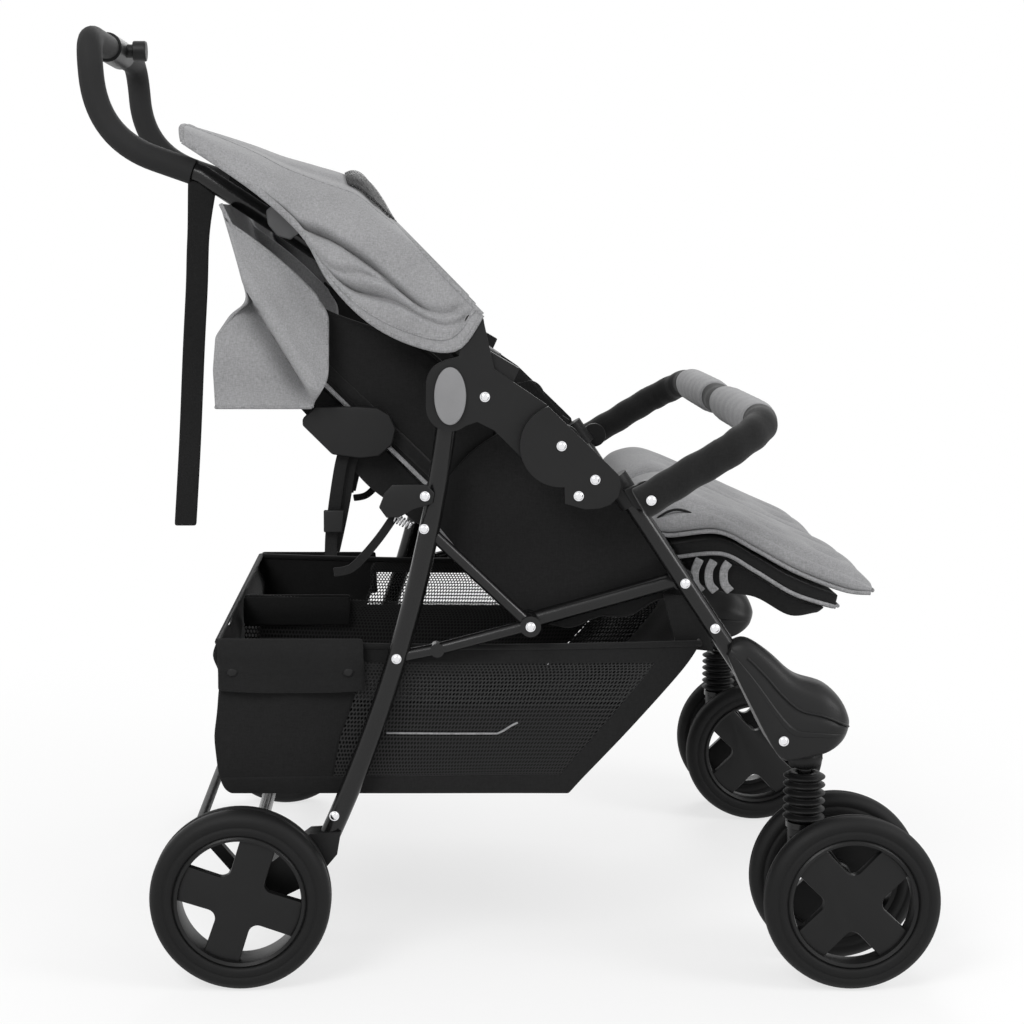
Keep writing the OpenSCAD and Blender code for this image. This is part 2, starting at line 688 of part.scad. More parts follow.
// Leg rest
leg_top = [[152, 488], [168, 506], [205, 511], [262, 488], [326, 458], [384, 432], [404, 412]];
leg_low = [[154, 478], [180, 458], [239, 461.5], [276, 443.5], [318, 419.5], [368, 401], [398, 401]];
module legrest_pad(is_left) {
    spots = [for (u = [0.42, 0.62, 0.82]) for (v = [0.3, 0.7]) [u, v]];
    color("#a8a8a8") side(is_left) pad(leg_top, leg_low, spots, tuft_depth);
}
module legrest_board(is_left) {
    color("#161618") side(is_left) difference() {
        union() {
            slab(pad_in + 6, pad_out - 6) polygon([[190, 456], [239, 460.5], [275, 442.5], [317, 418.5], [366, 400],
                [363, 384], [354, 383], [317, 396], [275, 421], [239, 440], [196, 436]]);
            for (y = [pad_in + 30, pad_out - 60]) ybar(crossbar_at, crossbar_r + 5, y, y + 30);
            for (y = [pad_in + 30, pad_out - 60])
                slab(y, y + 30) polygon([[182, 452.8], [200, 457], [205, 440], [188, 430]]);
        }
        ybar(crossbar_at, crossbar_r + run_clear, 0, leg_y);
    }
}

front_leg(true);  // front_leg_left
front_leg(false);  // front_leg_right
front_lobe(true);  // front_lobe_left
front_lobe(false);  // front_lobe_right
front_cover(true);  // front_cover_left
front_cover(false);  // front_cover_right
front_crossbar();
bumper_sockets();
basket();
front_bolts();
handle_tube();
handle_grips();
knuckle(true);  // knuckle_left
knuckle(false);  // knuckle_right
pivot_caps();
handle_hub();
fold_button();
carry_strap();
rear_curtains();
rear_leg(true);  // rear_leg_left
rear_leg(false);  // rear_leg_right
rear_carriers();
rear_axle_bar();
brake_bar();
rear_tyre(true);  // rear_tyre_left
rear_tyre(false);  // rear_tyre_right
rear_rim(true);  // rear_rim_left
rear_rim(false);  // rear_rim_right
front_slider(true);  // front_slider_left
front_slider(false);  // front_slider_right
bellows(true);  // bellows_left
bellows(false);  // bellows_right
caster_yoke(true);  // caster_yoke_left
caster_yoke(false);  // caster_yoke_right
front_tyre(true, true);  // front_tyre_left_outer
front_tyre(true, false);  // front_tyre_left_inner
front_tyre(false, true);  // front_tyre_right_outer
front_tyre(false, false);  // front_tyre_right_inner
front_rim(true, true);  // front_rim_left_outer
front_rim(true, false);  // front_rim_left_inner
front_rim(false, true);  // front_rim_right_outer
front_rim(false, false);  // front_rim_right_inner
seat_rails();
side_panels();
seat_pad(true);  // seat_pad_left
seat_pad(false);  // seat_pad_right
backrest_frame(true);  // backrest_frame_left
backrest_frame(false);  // backrest_frame_right
backrest_pad(true);  // backrest_pad_left
backrest_pad(false);  // backrest_pad_right
hood(true);  // hood_left
hood(false);  // hood_right
hood_hinge(true);  // hood_hinge_left
hood_hinge(false);  // hood_hinge_right
bumper_bar();
bumper_bands();
legrest_board(true);  // legrest_board_left
legrest_board(false);  // legrest_board_right
legrest_pad(true);  // legrest_pad_left
legrest_pad(false);  // legrest_pad_right
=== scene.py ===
# %% [markdown]
# A side-by-side twin pram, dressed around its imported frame. The frame comes first: every tube, wheel
# and pivot is already a solid in its right place, in metres, with X forward, Y to the left and Z up.
# The cells below add what solids can't show: cloth, padding, piping, mesh, tread and finishes.

# %% Load the frame
import json
import math

import bmesh
import bpy
from mathutils import Matrix, Vector

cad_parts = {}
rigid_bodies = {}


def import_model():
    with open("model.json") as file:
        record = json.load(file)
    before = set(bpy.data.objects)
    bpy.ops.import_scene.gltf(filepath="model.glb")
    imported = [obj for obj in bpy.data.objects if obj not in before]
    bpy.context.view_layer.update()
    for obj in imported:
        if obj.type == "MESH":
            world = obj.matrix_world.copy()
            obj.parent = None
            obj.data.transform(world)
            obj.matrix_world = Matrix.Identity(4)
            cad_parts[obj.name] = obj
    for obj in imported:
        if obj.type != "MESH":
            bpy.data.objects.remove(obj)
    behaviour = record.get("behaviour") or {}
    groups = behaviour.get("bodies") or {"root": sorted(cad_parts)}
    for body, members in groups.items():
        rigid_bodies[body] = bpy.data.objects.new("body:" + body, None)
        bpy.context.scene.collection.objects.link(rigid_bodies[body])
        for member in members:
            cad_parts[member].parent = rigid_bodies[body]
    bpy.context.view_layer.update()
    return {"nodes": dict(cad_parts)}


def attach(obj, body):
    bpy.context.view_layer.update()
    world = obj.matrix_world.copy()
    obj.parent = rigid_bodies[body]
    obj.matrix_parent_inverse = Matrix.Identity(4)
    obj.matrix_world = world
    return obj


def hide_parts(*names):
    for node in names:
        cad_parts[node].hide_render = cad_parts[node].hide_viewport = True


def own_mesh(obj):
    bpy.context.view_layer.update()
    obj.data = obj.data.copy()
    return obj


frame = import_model()
nodes = frame["nodes"]

# %% [markdown]
# The photograph shows the pram's right-hand side, and a lens of about 70 mm fits it. Its uprights stay
# nearly parallel, and the far wheels stand above the near ones, so the camera looks down only a little,
# from the height of the hoods. It could be placed by eye in the viewport; plain numbers give the same view on
# every run. A small lens shift sets the pram's place in the picture, and is kept small enough for the pram to
# stay in the picture from every other side.

# %% Camera
CAMERA_AT = (-0.0831, -2.3303, 0.782)
CAMERA_PITCH = 5.3
CAMERA_LENS = 68.62
CAMERA_SHIFT = (0.0879, -0.09)


def show(name, data):
    """Puts data into the scene as an object, at the origin."""
    thing = bpy.data.objects.new(name, data)
    bpy.context.scene.collection.objects.link(thing)
    return thing


camera_data = bpy.data.cameras.new("photo_camera")
camera_data.lens = CAMERA_LENS
camera_data.shift_x, camera_data.shift_y = CAMERA_SHIFT
camera = show("photo_camera", camera_data)
camera.location = CAMERA_AT
camera.rotation_euler = (math.radians(90 - CAMERA_PITCH), 0, 0)
bpy.context.scene.camera = camera
bpy.context.scene.view_settings.view_transform = "Standard"
print("camera at", CAMERA_AT)

# %% [markdown]
# Materials are small networks of nodes, and most of a network is arithmetic. This class wraps one
# socket, so that an expression such as 1 - mask * 0.3 adds its own Math nodes. Every other node comes
# from the one method add, which sets a node's settings first and then fills or links its sockets. Nodes
# could be placed one by one in the editor, but an expression is shorter and reads like the sum it is.


# %% A socket that does arithmetic
class Wire:
    def __init__(self, tree, socket=None):
        self.tree = tree
        self.socket = socket

    def add(self, kind, settings=None, out=0, **sockets):
        node = self.tree.nodes.new(kind)
        for key, value in (settings or {}).items():
            if key == "stops":
                ramp = node.color_ramp
                while len(ramp.elements) < len(value):
                    ramp.elements.new(1.0)
                for element, (place, shade) in zip(ramp.elements, value):
                    element.position = place
                    element.color = (shade, shade, shade, 1) if isinstance(shade, float) else (*shade, 1)
            else:
                setattr(node, key, value)
        for key, value in sockets.items():
            target = node.inputs[int(key[1:])] if key[0] == "i" and key[1:].isdigit() else node.inputs[
                key.replace("_", " ")]
            if isinstance(value, Wire):
                self.tree.links.new(value.socket, target)
            else:
                target.default_value = value
        return Wire(self.tree, node.outputs[out])

    def math(self, operation, *values):
        inputs = {"i%d" % i: value for i, value in enumerate(values)}
        return self.add("ShaderNodeMath", {"operation": operation}, **inputs)

    def __add__(self, other):
        return self.math("ADD", self, other)

    def __sub__(self, other):
        return self.math("SUBTRACT", self, other)

    def __mul__(self, other):
        return self.math("MULTIPLY", self, other)

    def __truediv__(self, other):
        return self.math("DIVIDE", self, other)

    def __radd__(self, other):
        return self.math("ADD", other, self)

    def __rsub__(self, other):
        return self.math("SUBTRACT", other, self)

    def __rmul__(self, other):
        return self.math("MULTIPLY", other, self)

    def above(self, limit):
        return self.math("GREATER_THAN", self, limit)

    def tint(self, dark, light):
        return self.add("ShaderNodeMix", {"data_type": "RGBA"}, out=2, i0=self, i6=(*dark, 1), i7=(*light, 1))


def start_material(name):
    material = bpy.data.materials.new(name)
    material.use_nodes = True
    tree = material.node_tree
    shader = tree.nodes["Principled BSDF"]
    return material, Wire(tree), shader


def feed(wire, shader, **sockets):
    for key, value in sockets.items():
        target = shader.inputs[key.replace("_", " ")]
        if isinstance(value, Wire):
            wire.tree.links.new(value.socket, target)
        else:
            target.default_value = value


def grey(value):
    return (value, value, value * 1.02)


print("socket class ready")

# %% [markdown]
# The studio is a pale floor that runs on into a pale world, two soft area lamps and a weak fill. What
# the camera sees behind the pram is white, through Light Path, while the lamps stay at a plain level so
# that the greys of the cloth come out as they are written.

# %% Studio
FLOOR_HALF = 6.0
FLOOR_DROP = 0.0005
LAMP_AIM = Vector((0, 0, 0.5))
LAMPS = {  # place, size and power of each soft lamp
    "key_lamp": ((-1.6, -2.6, 2.8), 1.6, 62),
    "side_lamp": ((2.6, -1.4, 1.9), 1.4, 34),
    "back_lamp": ((0.4, 2.6, 2.6), 1.8, 40),
}


def seen_rays(wire):
    """1 for what the camera sees, straight or by way of gloss or glass, and 0 for light that falls on things."""
    path = wire.add("ShaderNodeLightPath")
    seen = path
    for ray in ("Is Glossy Ray", "Is Transmission Ray"):
        seen = seen.math("MAXIMUM", seen, Wire(wire.tree, path.socket.node.outputs[ray]))
    return seen


world = bpy.data.worlds.new("studio")
world.use_nodes = True
bpy.context.scene.world = world
world_wire = Wire(world.node_tree)
feed(world_wire, world.node_tree.nodes["Background"], Color=(1, 1, 1, 1),
     Strength=0.55 + seen_rays(world_wire) * 0.45)
for name, (at, size, power) in LAMPS.items():
    light = bpy.data.lights.new(name, "AREA")
    light.shape, light.size, light.energy = "DISK", size, power
    lamp = show(name, light)
    lamp.location = at
    lamp.rotation_euler = (LAMP_AIM - lamp.location).to_track_quat("-Z", "Y").to_euler()
print("lamps:", len(LAMPS))

# %% [markdown]
# The floor could be one white plane, but it would show an edge or lose the shadow. Here it keeps the
# pram's shadow near the wheels, and further out it fades into the plain white of the world.

# %% Studio floor
floor_mesh = bmesh.new()
bmesh.ops.create_grid(floor_mesh, x_segments=1, y_segments=1, size=FLOOR_HALF)
floor_data = bpy.data.meshes.new("studio_floor")
floor_mesh.to_mesh(floor_data)
floor_mesh.free()
floor = show("studio_floor", floor_data)
floor.location.z = -FLOOR_DROP
floor_material, floor_wire, floor_shader = start_material("pale_floor")
feed(floor_wire, floor_shader, Base_Color=(0.93, 0.93, 0.93, 1), Roughness=0.9, Specular_IOR_Level=0.1)
floor_place = floor_wire.add("ShaderNodeTexCoord", out=3)
floor_reach = floor_place.add("ShaderNodeVectorMath", {"operation": "LENGTH"}, out=1, i0=floor_place)
floor_fade = floor_reach.add("ShaderNodeMapRange", Value=floor_reach, From_Min=0.55, From_Max=1.5, To_Min=0.7,
                             To_Max=1.0)
floor_glow = floor_wire.add("ShaderNodeEmission", Color=(1, 1, 1, 1), Strength=1.0)
floor_mix = floor_wire.add("ShaderNodeMixShader", i0=seen_rays(floor_wire) * floor_fade,
                           i1=Wire(floor_wire.tree, floor_shader.outputs[0]), i2=floor_glow)
feed(floor_wire, floor_wire.tree.nodes["Material Output"], Surface=floor_mix)
floor_data.materials.append(floor_material)
print("floor:", 2 * FLOOR_HALF, "m wide")

# %% [markdown]
# Hard finishes. The tubes are gloss black paint with the faint orange peel of a powder coat; the moulded
# covers are a dark plastic with a fine grain; bolts are bright steel; tyres are a dull foam rubber with
# a little dust; the grips are soft foam with pores. Pictures could show all this, but noise on Object
# coordinates keeps its true size on every piece and needs no unwrapping.


# %% Hard finishes
def object_point(wire):
    return wire.add("ShaderNodeTexCoord", out=3)


def noise(wire, point, scale, detail=3.0, rough=0.55):
    return wire.add("ShaderNodeTexNoise", Vector=point, Scale=scale, Detail=detail, Roughness=rough)


def bump(wire, height, depth, strength=1.0):
    return wire.add("ShaderNodeBump", Height=height, Distance=depth, Strength=strength)


def gloss_paint(name, shade):
    material, wire, shader = start_material(name)
    point = object_point(wire)
    peel = noise(wire, point, 900.0, 1.0)
    smudge = noise(wire, point, 22.0, 4.0)
    feed(wire, shader, Base_Color=smudge.tint(grey(shade * 0.85), grey(shade * 1.2)),
         Roughness=0.16 + smudge * 0.14, Normal=bump(wire, peel, 0.00004), Specular_IOR_Level=0.3,
         Coat_Weight=0.12, Coat_Roughness=0.12)
    return material


def moulded_plastic(name, shade, rough=0.42):
    material, wire, shader = start_material(name)
    point = object_point(wire)
    grain = noise(wire, point, 1500.0, 2.0)
    cloud = noise(wire, point, 35.0, 4.0)
    feed(wire, shader, Base_Color=cloud.tint(grey(shade * 0.88), grey(shade * 1.14)),
         Roughness=(rough - 0.06) + cloud * 0.12, Normal=bump(wire, grain, 0.00008), Specular_IOR_Level=0.24)
    return material


def bright_metal(name, shade, rough):
    material, wire, shader = start_material(name)
    point = object_point(wire)
    brush = noise(wire, point, 240.0, 3.0)
    feed(wire, shader, Base_Color=brush.tint(grey(shade * 0.92), grey(shade)), Metallic=1.0,
         Roughness=(rough - 0.05) + brush * 0.1)
    return material


def dull_rubber(name, shade, rough, pores):
    material, wire, shader = start_material(name)
    point = object_point(wire)
    pore = noise(wire, point, pores, 2.0)
    dust = noise(wire, point, 28.0, 5.0)
    feed(wire, shader, Base_Color=dust.tint(grey(shade * 0.8), grey(shade * 1.3)),
         Roughness=(rough - 0.08) + dust * 0.14, Normal=bump(wire, pore, 0.00025), Specular_IOR_Level=0.2)
    return material


tube_paint = gloss_paint("tube_gloss_black", 0.005)
cover_plastic = moulded_plastic("cover_dark_plastic", 0.009)
wheel_plastic = moulded_plastic("wheel_dark_plastic", 0.007, 0.38)
cap_plastic = moulded_plastic("cap_grey_plastic", 0.22, 0.5)
grey_tube = gloss_paint("tube_grey", 0.22)
bolt_metal = bright_metal("bolt_bright_steel", 0.86, 0.16)
spring_metal = bright_metal("spring_steel", 0.5, 0.32)
grip_foam = dull_rubber("grip_foam", 0.016, 0.72, 1300.0)
tyre_rubber = dull_rubber("tyre_rubber", 0.006, 0.58, 900.0)
gaiter_rubber = dull_rubber("gaiter_rubber", 0.006, 0.5, 700.0)
print("finishes so far:", len(bpy.data.materials))


# %% [markdown]
# Cloth finishes. The grey cloth is a melange: light and dark threads side by side, so the shade breaks
# up into small flecks along two thread directions. The black cloth is the same weave, almost without
# flecks. Mesh is a plain dark thread with a pattern of six-sided holes cut by its alpha. Modelled threads
# would take millions of faces, so stretched noise stands for them and only its bump is felt by the light.


# %% Cloth finishes
def woven(name, dark, light, fleck, weave=1250.0, rough=0.88):
    material, wire, shader = start_material(name)
    point = object_point(wire)
    long_threads, cross_threads = (
        noise(wire, wire.add("ShaderNodeMapping", Vector=point, Scale=stretch), fleck, 2.0, 0.7)
        for stretch in ((0.35, 1, 1.6), (1.6, 1, 0.35)))
    broad = noise(wire, point, 16.0, 4.0)
    threads = (long_threads + cross_threads) * 0.5
    shade = wire.add("ShaderNodeMapRange", Value=threads * 0.82 + broad * 0.18, From_Min=0.36, From_Max=0.64)
    fibre = noise(wire, point, weave, 2.0)
    feed(wire, shader, Base_Color=shade.tint(grey(dark), grey(light)), Roughness=(rough - 0.05) + fibre * 0.1,
         Normal=bump(wire, fibre * 0.6 + threads * 0.4, 0.00045, 0.7), Specular_IOR_Level=0.25, Sheen_Weight=0.12,
         Sheen_Roughness=0.5)
    return material


def holed_mesh(name, shade, pitch, wire_share):
    material, wire, shader = start_material(name)
    uv = wire.add("ShaderNodeUVMap", {"uv_map": "cloth"})
    parts = wire.add("ShaderNodeSeparateXYZ", Vector=uv)
    across = parts / pitch
    along = Wire(wire.tree, parts.socket.node.outputs[1]) / pitch

    def hole_centre(shift):
        x = (across + shift).math("FLOORED_MODULO", across + shift, 1.0) - 0.5
        y = (along + shift * 1.732).math("FLOORED_MODULO", along + shift * 1.732, 1.732) - 0.866
        flat = x.math("ABSOLUTE", x)
        tall = y.math("ABSOLUTE", y)
        return flat.math("MAXIMUM", flat, flat * 0.5 + tall * 0.866)

    near = across.math("MINIMUM", hole_centre(0.0), hole_centre(0.5))
    thread = near.above(0.5 - wire_share)
    feed(wire, shader, Base_Color=(*grey(shade), 1), Roughness=0.6, Alpha=thread, Specular_IOR_Level=0.4)
    return material


grey_cloth = woven("cloth_grey_melange", 0.205, 0.335, 620.0)
black_cloth = woven("cloth_black", 0.0035, 0.0075, 420.0)
grey_binding = woven("binding_grey", 0.16, 0.34, 500.0)
black_webbing = woven("webbing_black", 0.004, 0.008, 700.0, 900.0)
wrap_cloth = woven("bumper_wrap_black", 0.004, 0.009, 420.0)
hex_mesh = holed_mesh("basket_mesh", 0.008, 0.0036, 0.17)
vent_net = holed_mesh("vent_net", 0.006, 0.0026, 0.2)
print("finishes so far:", len(bpy.data.materials))

# %% [markdown]
# Some solids are right as they are: the straight tubes, the axle, the brake bar and the hood's hubs. Such a
# solid keeps its mesh and only gets a better finish. Every other solid is replaced further down, so a finish
# on it would never be seen.

# %% Dress the solids that stay
PAIRS = ("left", "right")
finish_of = {"front_crossbar": tube_paint, "seat_rails": tube_paint, "rear_axle_bar": tube_paint,
             "brake_bar": cover_plastic}
for hand in PAIRS:
    for solid, finish in (("front_leg", tube_paint), ("rear_leg", tube_paint), ("front_slider", tube_paint),
                          ("backrest_frame", grey_tube), ("hood_hinge", cover_plastic)):
        finish_of[f"{solid}_{hand}"] = finish
for name, finish in finish_of.items():
    slots = nodes[name].data.materials
    slots.clear()
    slots.append(finish)
print("dressed", len(finish_of), "of", len(nodes), "solids")

# %% [markdown]
# Three helpers make most of the pieces. A cloth sheet starts as a grid, whose points are moved onto the
# surface they belong to, and a Solidify modifier gives it thickness. A pad starts as a finely divided
# cube, which is pushed into a crowned form. Piping is a curve with a round bevel, made a mesh at once so
# that its bounds are true. Each takes the body it rides on and the finish it wears. Sculpting by hand could
# do the same, but a formula gives the left and right sides the same shape on every run.


def mm(x, y, z):
    return Vector((x, y, z)) * 0.001


def blend_of(a, b, t):
    return a + (b - a) * t


def smooth_step(low, high, value):
    t = min(max((value - low) / (high - low), 0.0), 1.0)
    return t * t * (3 - 2 * t)


def track(points, t):
    """A smooth curve through the points, at share t of its stations."""
    place = min(max(t, 0.0), 1.0) * (len(points) - 1)
    i = min(int(place), len(points) - 2)
    f = place - i
    before, a, b, after = (points[min(max(i + k, 0), len(points) - 1)] for k in (-1, 0, 1, 2))
    return tuple(0.5 * (2 * q + (r - p) * f + (2 * p - 5 * q + 4 * r - s) * f * f + (3 * q - p - 3 * r + s) * f ** 3)
                 for p, q, r, s in zip(before, a, b, after))


def look_up(table, key):
    for (k0, v0), (k1, v1) in zip(table, table[1:]):
        if key <= k1:
            return blend_of(v0, v1, min(max((key - k0) / (k1 - k0), 0.0), 1.0))
    return table[-1][1]


def settle(piece, body, slot, replaces):
    """Says which body carries a piece and which solids it stands for. The slot argument is not used."""
    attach(piece, body)
    if replaces:
        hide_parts(*replaces)
    return piece


def put(name, bm, finish, body, slot, replaces=()):
    data = bpy.data.meshes.new(name)
    bm.to_mesh(data)
    bm.free()
    data.materials.append(finish)
    data.polygons.foreach_set("use_smooth", [True] * len(data.polygons))
    return settle(show(name, data), body, slot, replaces)


def soften(piece):
    """One live subdivision, the same in the viewport and in the render."""
    smoother = piece.modifiers.new("soften", "SUBSURF")
    smoother.levels = smoother.render_levels = 1


def cloth_sheet(name, columns, rows, place, finish, body, slot, thick, replaces=()):
    """A sheet: a grid whose points (u, v), each from 0 to 1, are placed one by one, with a UV map in metres."""
    bm = bmesh.new()
    bmesh.ops.create_grid(bm, x_segments=columns, y_segments=rows, size=0.5)
    uv = bm.loops.layers.uv.new("cloth")
    low_x = min(v.co.x for v in bm.verts)
    span = max(v.co.x for v in bm.verts) - low_x
    share = {}
    bm.verts.index_update()
    for v in bm.verts:
        u, w = (v.co.x - low_x) / span, (v.co.y - low_x) / span
        share[v.index] = (u, w)
        v.co = place(u, w)
    area = sum(face.calc_area() for face in bm.faces)
    middle = [place(i / 40, 0.5) for i in range(41)]
    width = sum((q - p).length for p, q in zip(middle, middle[1:]))
    length = area / max(width, 0.001)
    for face in bm.faces:
        for loop in face.loops:
            u, w = share[loop.vert.index]
            loop[uv].uv = (u * width, w * length)
    piece = put(name, bm, finish, body, slot, replaces)
    soften(piece)
    body_of_cloth = piece.modifiers.new("thickness", "SOLIDIFY")
    body_of_cloth.thickness = thick * 0.001
    body_of_cloth.offset = 0
    return piece


def divided_cube(cuts, place):
    """A cube cut into a grid on every side, whose points (u, v, w), each from 0 to 1, are placed one by one."""
    bm = bmesh.new()
    bmesh.ops.create_cube(bm, size=1.0)
    bmesh.ops.subdivide_edges(bm, edges=bm.edges[:], cuts=cuts, use_grid_fill=True)
    for v in bm.verts:
        v.co = place(v.co.x + 0.5, v.co.y + 0.5, v.co.z + 0.5)
    return bm


def pad_form(name, cuts, place, finish, body, slot, replaces=()):
    bm = divided_cube(cuts, place)
    bmesh.ops.recalc_face_normals(bm, faces=bm.faces[:])
    piece = put(name, bm, finish, body, slot, replaces)
    soften(piece)
    return piece


def piping(name, routes, radius, finish, body, slot, replaces=(), sides=2):
    """Round cord sewn along one or more routes, each a list of points."""
    data = bpy.data.curves.new(name, "CURVE")
    data.dimensions = "3D"
    data.bevel_depth = radius * 0.001
    data.bevel_resolution = sides
    data.use_fill_caps = True
    for route in routes:
        spline = data.splines.new("POLY")
        spline.points.add(len(route) - 1)
        for point, at in zip(spline.points, route):
            point.co = (*at, 1)
        spline.use_smooth = True
    line = bpy.data.objects.new(f"{name}_line", data)
    solid = bpy.data.meshes.new_from_object(line)
    bpy.data.objects.remove(line)
    solid.materials.clear()
    solid.materials.append(finish)
    return settle(show(name, solid), body, slot, replaces)


def hand_sign(hand):
    return 1 if hand == "left" else -1


def flip(point, hand):
    return Vector((point.x, point.y * hand_sign(hand), point.z))


def on_side(place, hand):
    """The same surface on the left or right of the pram."""
    return lambda *shares: flip(place(*shares), hand)


def line_on(place, hand, count=40):
    """Points along a line, from place(0) to place(1), on the left or right of the pram."""
    return [flip(place(i / count), hand) for i in range(count + 1)]


def mirrored(route):
    return [flip(point, "right") for point in route]


def loft(first, second, share):
    """The points of two edges, as (x, z) in millimetres, at the same share along both."""
    return Vector(track(first, share)), Vector(track(second, share))


def sharp_edges(bm, angle):
    return [e for e in bm.edges if len(e.link_faces) == 2 and e.calc_face_angle() > angle]


def round_edges(bm, edges, radius, segments):
    bmesh.ops.bevel(bm, geom=edges, offset=radius, offset_type="OFFSET", affect="EDGES", segments=segments,
                    profile=0.5, material=-1)


print("piece helpers ready")

# %% [markdown]
# The hoods. Each is one curved sheet, lofted from its front bow to its rear edge by the handle. The
# cloth is slack where it gathers at the front pivot, so long folds run back from there and die out. A
# piped hem follows the edge, and a seam runs along the top of the side panel. A simulated drape would put
# the folds where it likes; here each fold is a narrow valley along a line that can be moved and measured.

# %% Hoods
HOOD_HEM = [(-21, 704), (-48, 669), (-92, 674), (-138, 697), (-178, 738), (-206, 786), (-256, 832), (-330, 882)]
HOOD_CREST = [(-116, 801), (-140, 826), (-162, 846), (-200, 858), (-235, 868), (-266, 880), (-300, 892),
              (-334, 903)]
HOOD_MID_Y = 158.3
HOOD_HALF_Y = 145.0
HOOD_FLARE = 17.0  # how far the front corner stands off the pivot


def crease(rise, line, width, u, start, stop):
    """One sewn-in fold: a narrow valley along a line of the side panel, fading at both its ends."""
    window = smooth_step(start, start + 0.06, u) * (1 - smooth_step(stop - 0.16, stop, u))
    return window * math.exp(-((rise - line) / width) ** 2)


def hood_point(u, v, lift=0.0):
    turn = math.pi * v
    rise = max(math.sin(turn), 0.0) ** 0.62
    hem = track(HOOD_HEM, u)
    crest = track(HOOD_CREST, u)
    x = blend_of(hem[0], crest[0], rise)
    z = blend_of(hem[1], crest[1], rise)
    side = math.cos(turn)
    out = math.copysign(1, side)
    y = HOOD_MID_Y + HOOD_HALF_Y * out * abs(side) ** 0.75
    upper_line = 0.16 + 0.34 * smooth_step(0.0, 0.45, u) - 0.30 * smooth_step(0.45, 0.80, u)
    lower_line = 0.08 + 0.18 * smooth_step(0.0, 0.30, u) - 0.12 * smooth_step(0.30, 0.56, u)
    short_line = 0.12 + 0.24 * smooth_step(0.0, 0.32, u) - 0.16 * smooth_step(0.36, 0.56, u)
    valley = (15.0 * crease(rise, upper_line, 0.032, u, 0.02, 0.84)
              + 13.0 * crease(rise, lower_line, 0.026, u, 0.02, 0.60)
              + 9.0 * crease(rise, short_line, 0.02, u, 0.14, 0.58))
    ridge = 6.0 * crease(rise, (upper_line + lower_line) / 2, 0.07, u, 0.05, 0.66)
    bulge = 5.0 * crease(rise, 0.68, 0.16, u, 0.0, 1.1) - 5.0 * crease(rise, 0.93, 0.025, u, 0.12, 1.1)
    pucker = 1.6 * math.sin(38 * u + 9 * rise) * crease(rise, upper_line, 0.14, u, 0.08, 0.7)
    push = ridge + bulge - valley + pucker
    flare = 0.0
    if out > 0:
        flare = HOOD_FLARE * (1 - smooth_step(48, 108, math.hypot(x + 29, z - 696)))
        push *= 1 - 0.4 * flare / HOOD_FLARE
    puff = 3.0 * math.sin(math.pi * u) * smooth_step(0.5, 0.9, rise)
    return mm(x, y + out * min(push, 4.0) - out * 3.0 + flare, z + push * 0.25 + puff + lift)


def dense_edge(t):
    return 0.5 - 0.5 * math.cos(math.pi * t)


for hand in PAIRS:
    body = f"hood_unit_{hand}"
    cloth_sheet(f"hood_cloth_{hand}", 136, 76, lambda t, u: flip(hood_point(u, dense_edge(t)), hand), grey_cloth,
                body, "fabric_grey", 2.6, replaces=(f"hood_{hand}",))
    hems = [line_on(lambda t: hood_point(t, edge), hand) for edge in (0.0, 1.0)]
    bows = [line_on(lambda t: hood_point(end, t), hand) for end in (0.0, 1.0)]
    piping(f"hood_piping_{hand}", hems + bows, 2.6, grey_binding, body, "fabric_grey")
    seams = [line_on(lambda t: hood_point(0.06 + 0.94 * t, v, 0.6), hand) for v in (0.30, 0.70)]
    stitches = [line_on(lambda t: hood_point(t, v) + Vector((0, out * 0.0011, 0)), hand, 80)
                for v, out in ((0.0045, 1), (0.9955, -1))]
    piping(f"hood_seam_{hand}", seams + stitches, 1.5, grey_binding, body, "fabric_grey")

    def vent(v, u):
        raised = 13.0 * math.sin(math.pi * u) ** 0.7 * (0.25 + 0.75 * math.sin(math.pi * v))
        return flip(hood_point(0.05 + 0.26 * u, 0.34 + 0.32 * v, 3.0 + raised), hand)

    cloth_sheet(f"hood_vent_{hand}", 14, 12, vent, vent_net, body, "fabric_black", 1.4)
print("hoods done")

# %% [markdown]
# The rear curtains hang from the handle tube behind each backrest. From the side they fall inward, and
# then bag out at the bottom, where a long diagonal fold ends in a hemmed edge. Three joined panels would
# crease at their corners, so each is one sheet that runs from its outer side across the back to its inner
# side.

# %% Rear curtains
CURTAIN_BACK = [(606, -301), (645, -303), (680, -300), (703, -284), (716, -266), (760, -277), (818, -294)]
CURTAIN_LOW = 606
CURTAIN_IN = 5.5
CURTAIN_OUT = 290.5


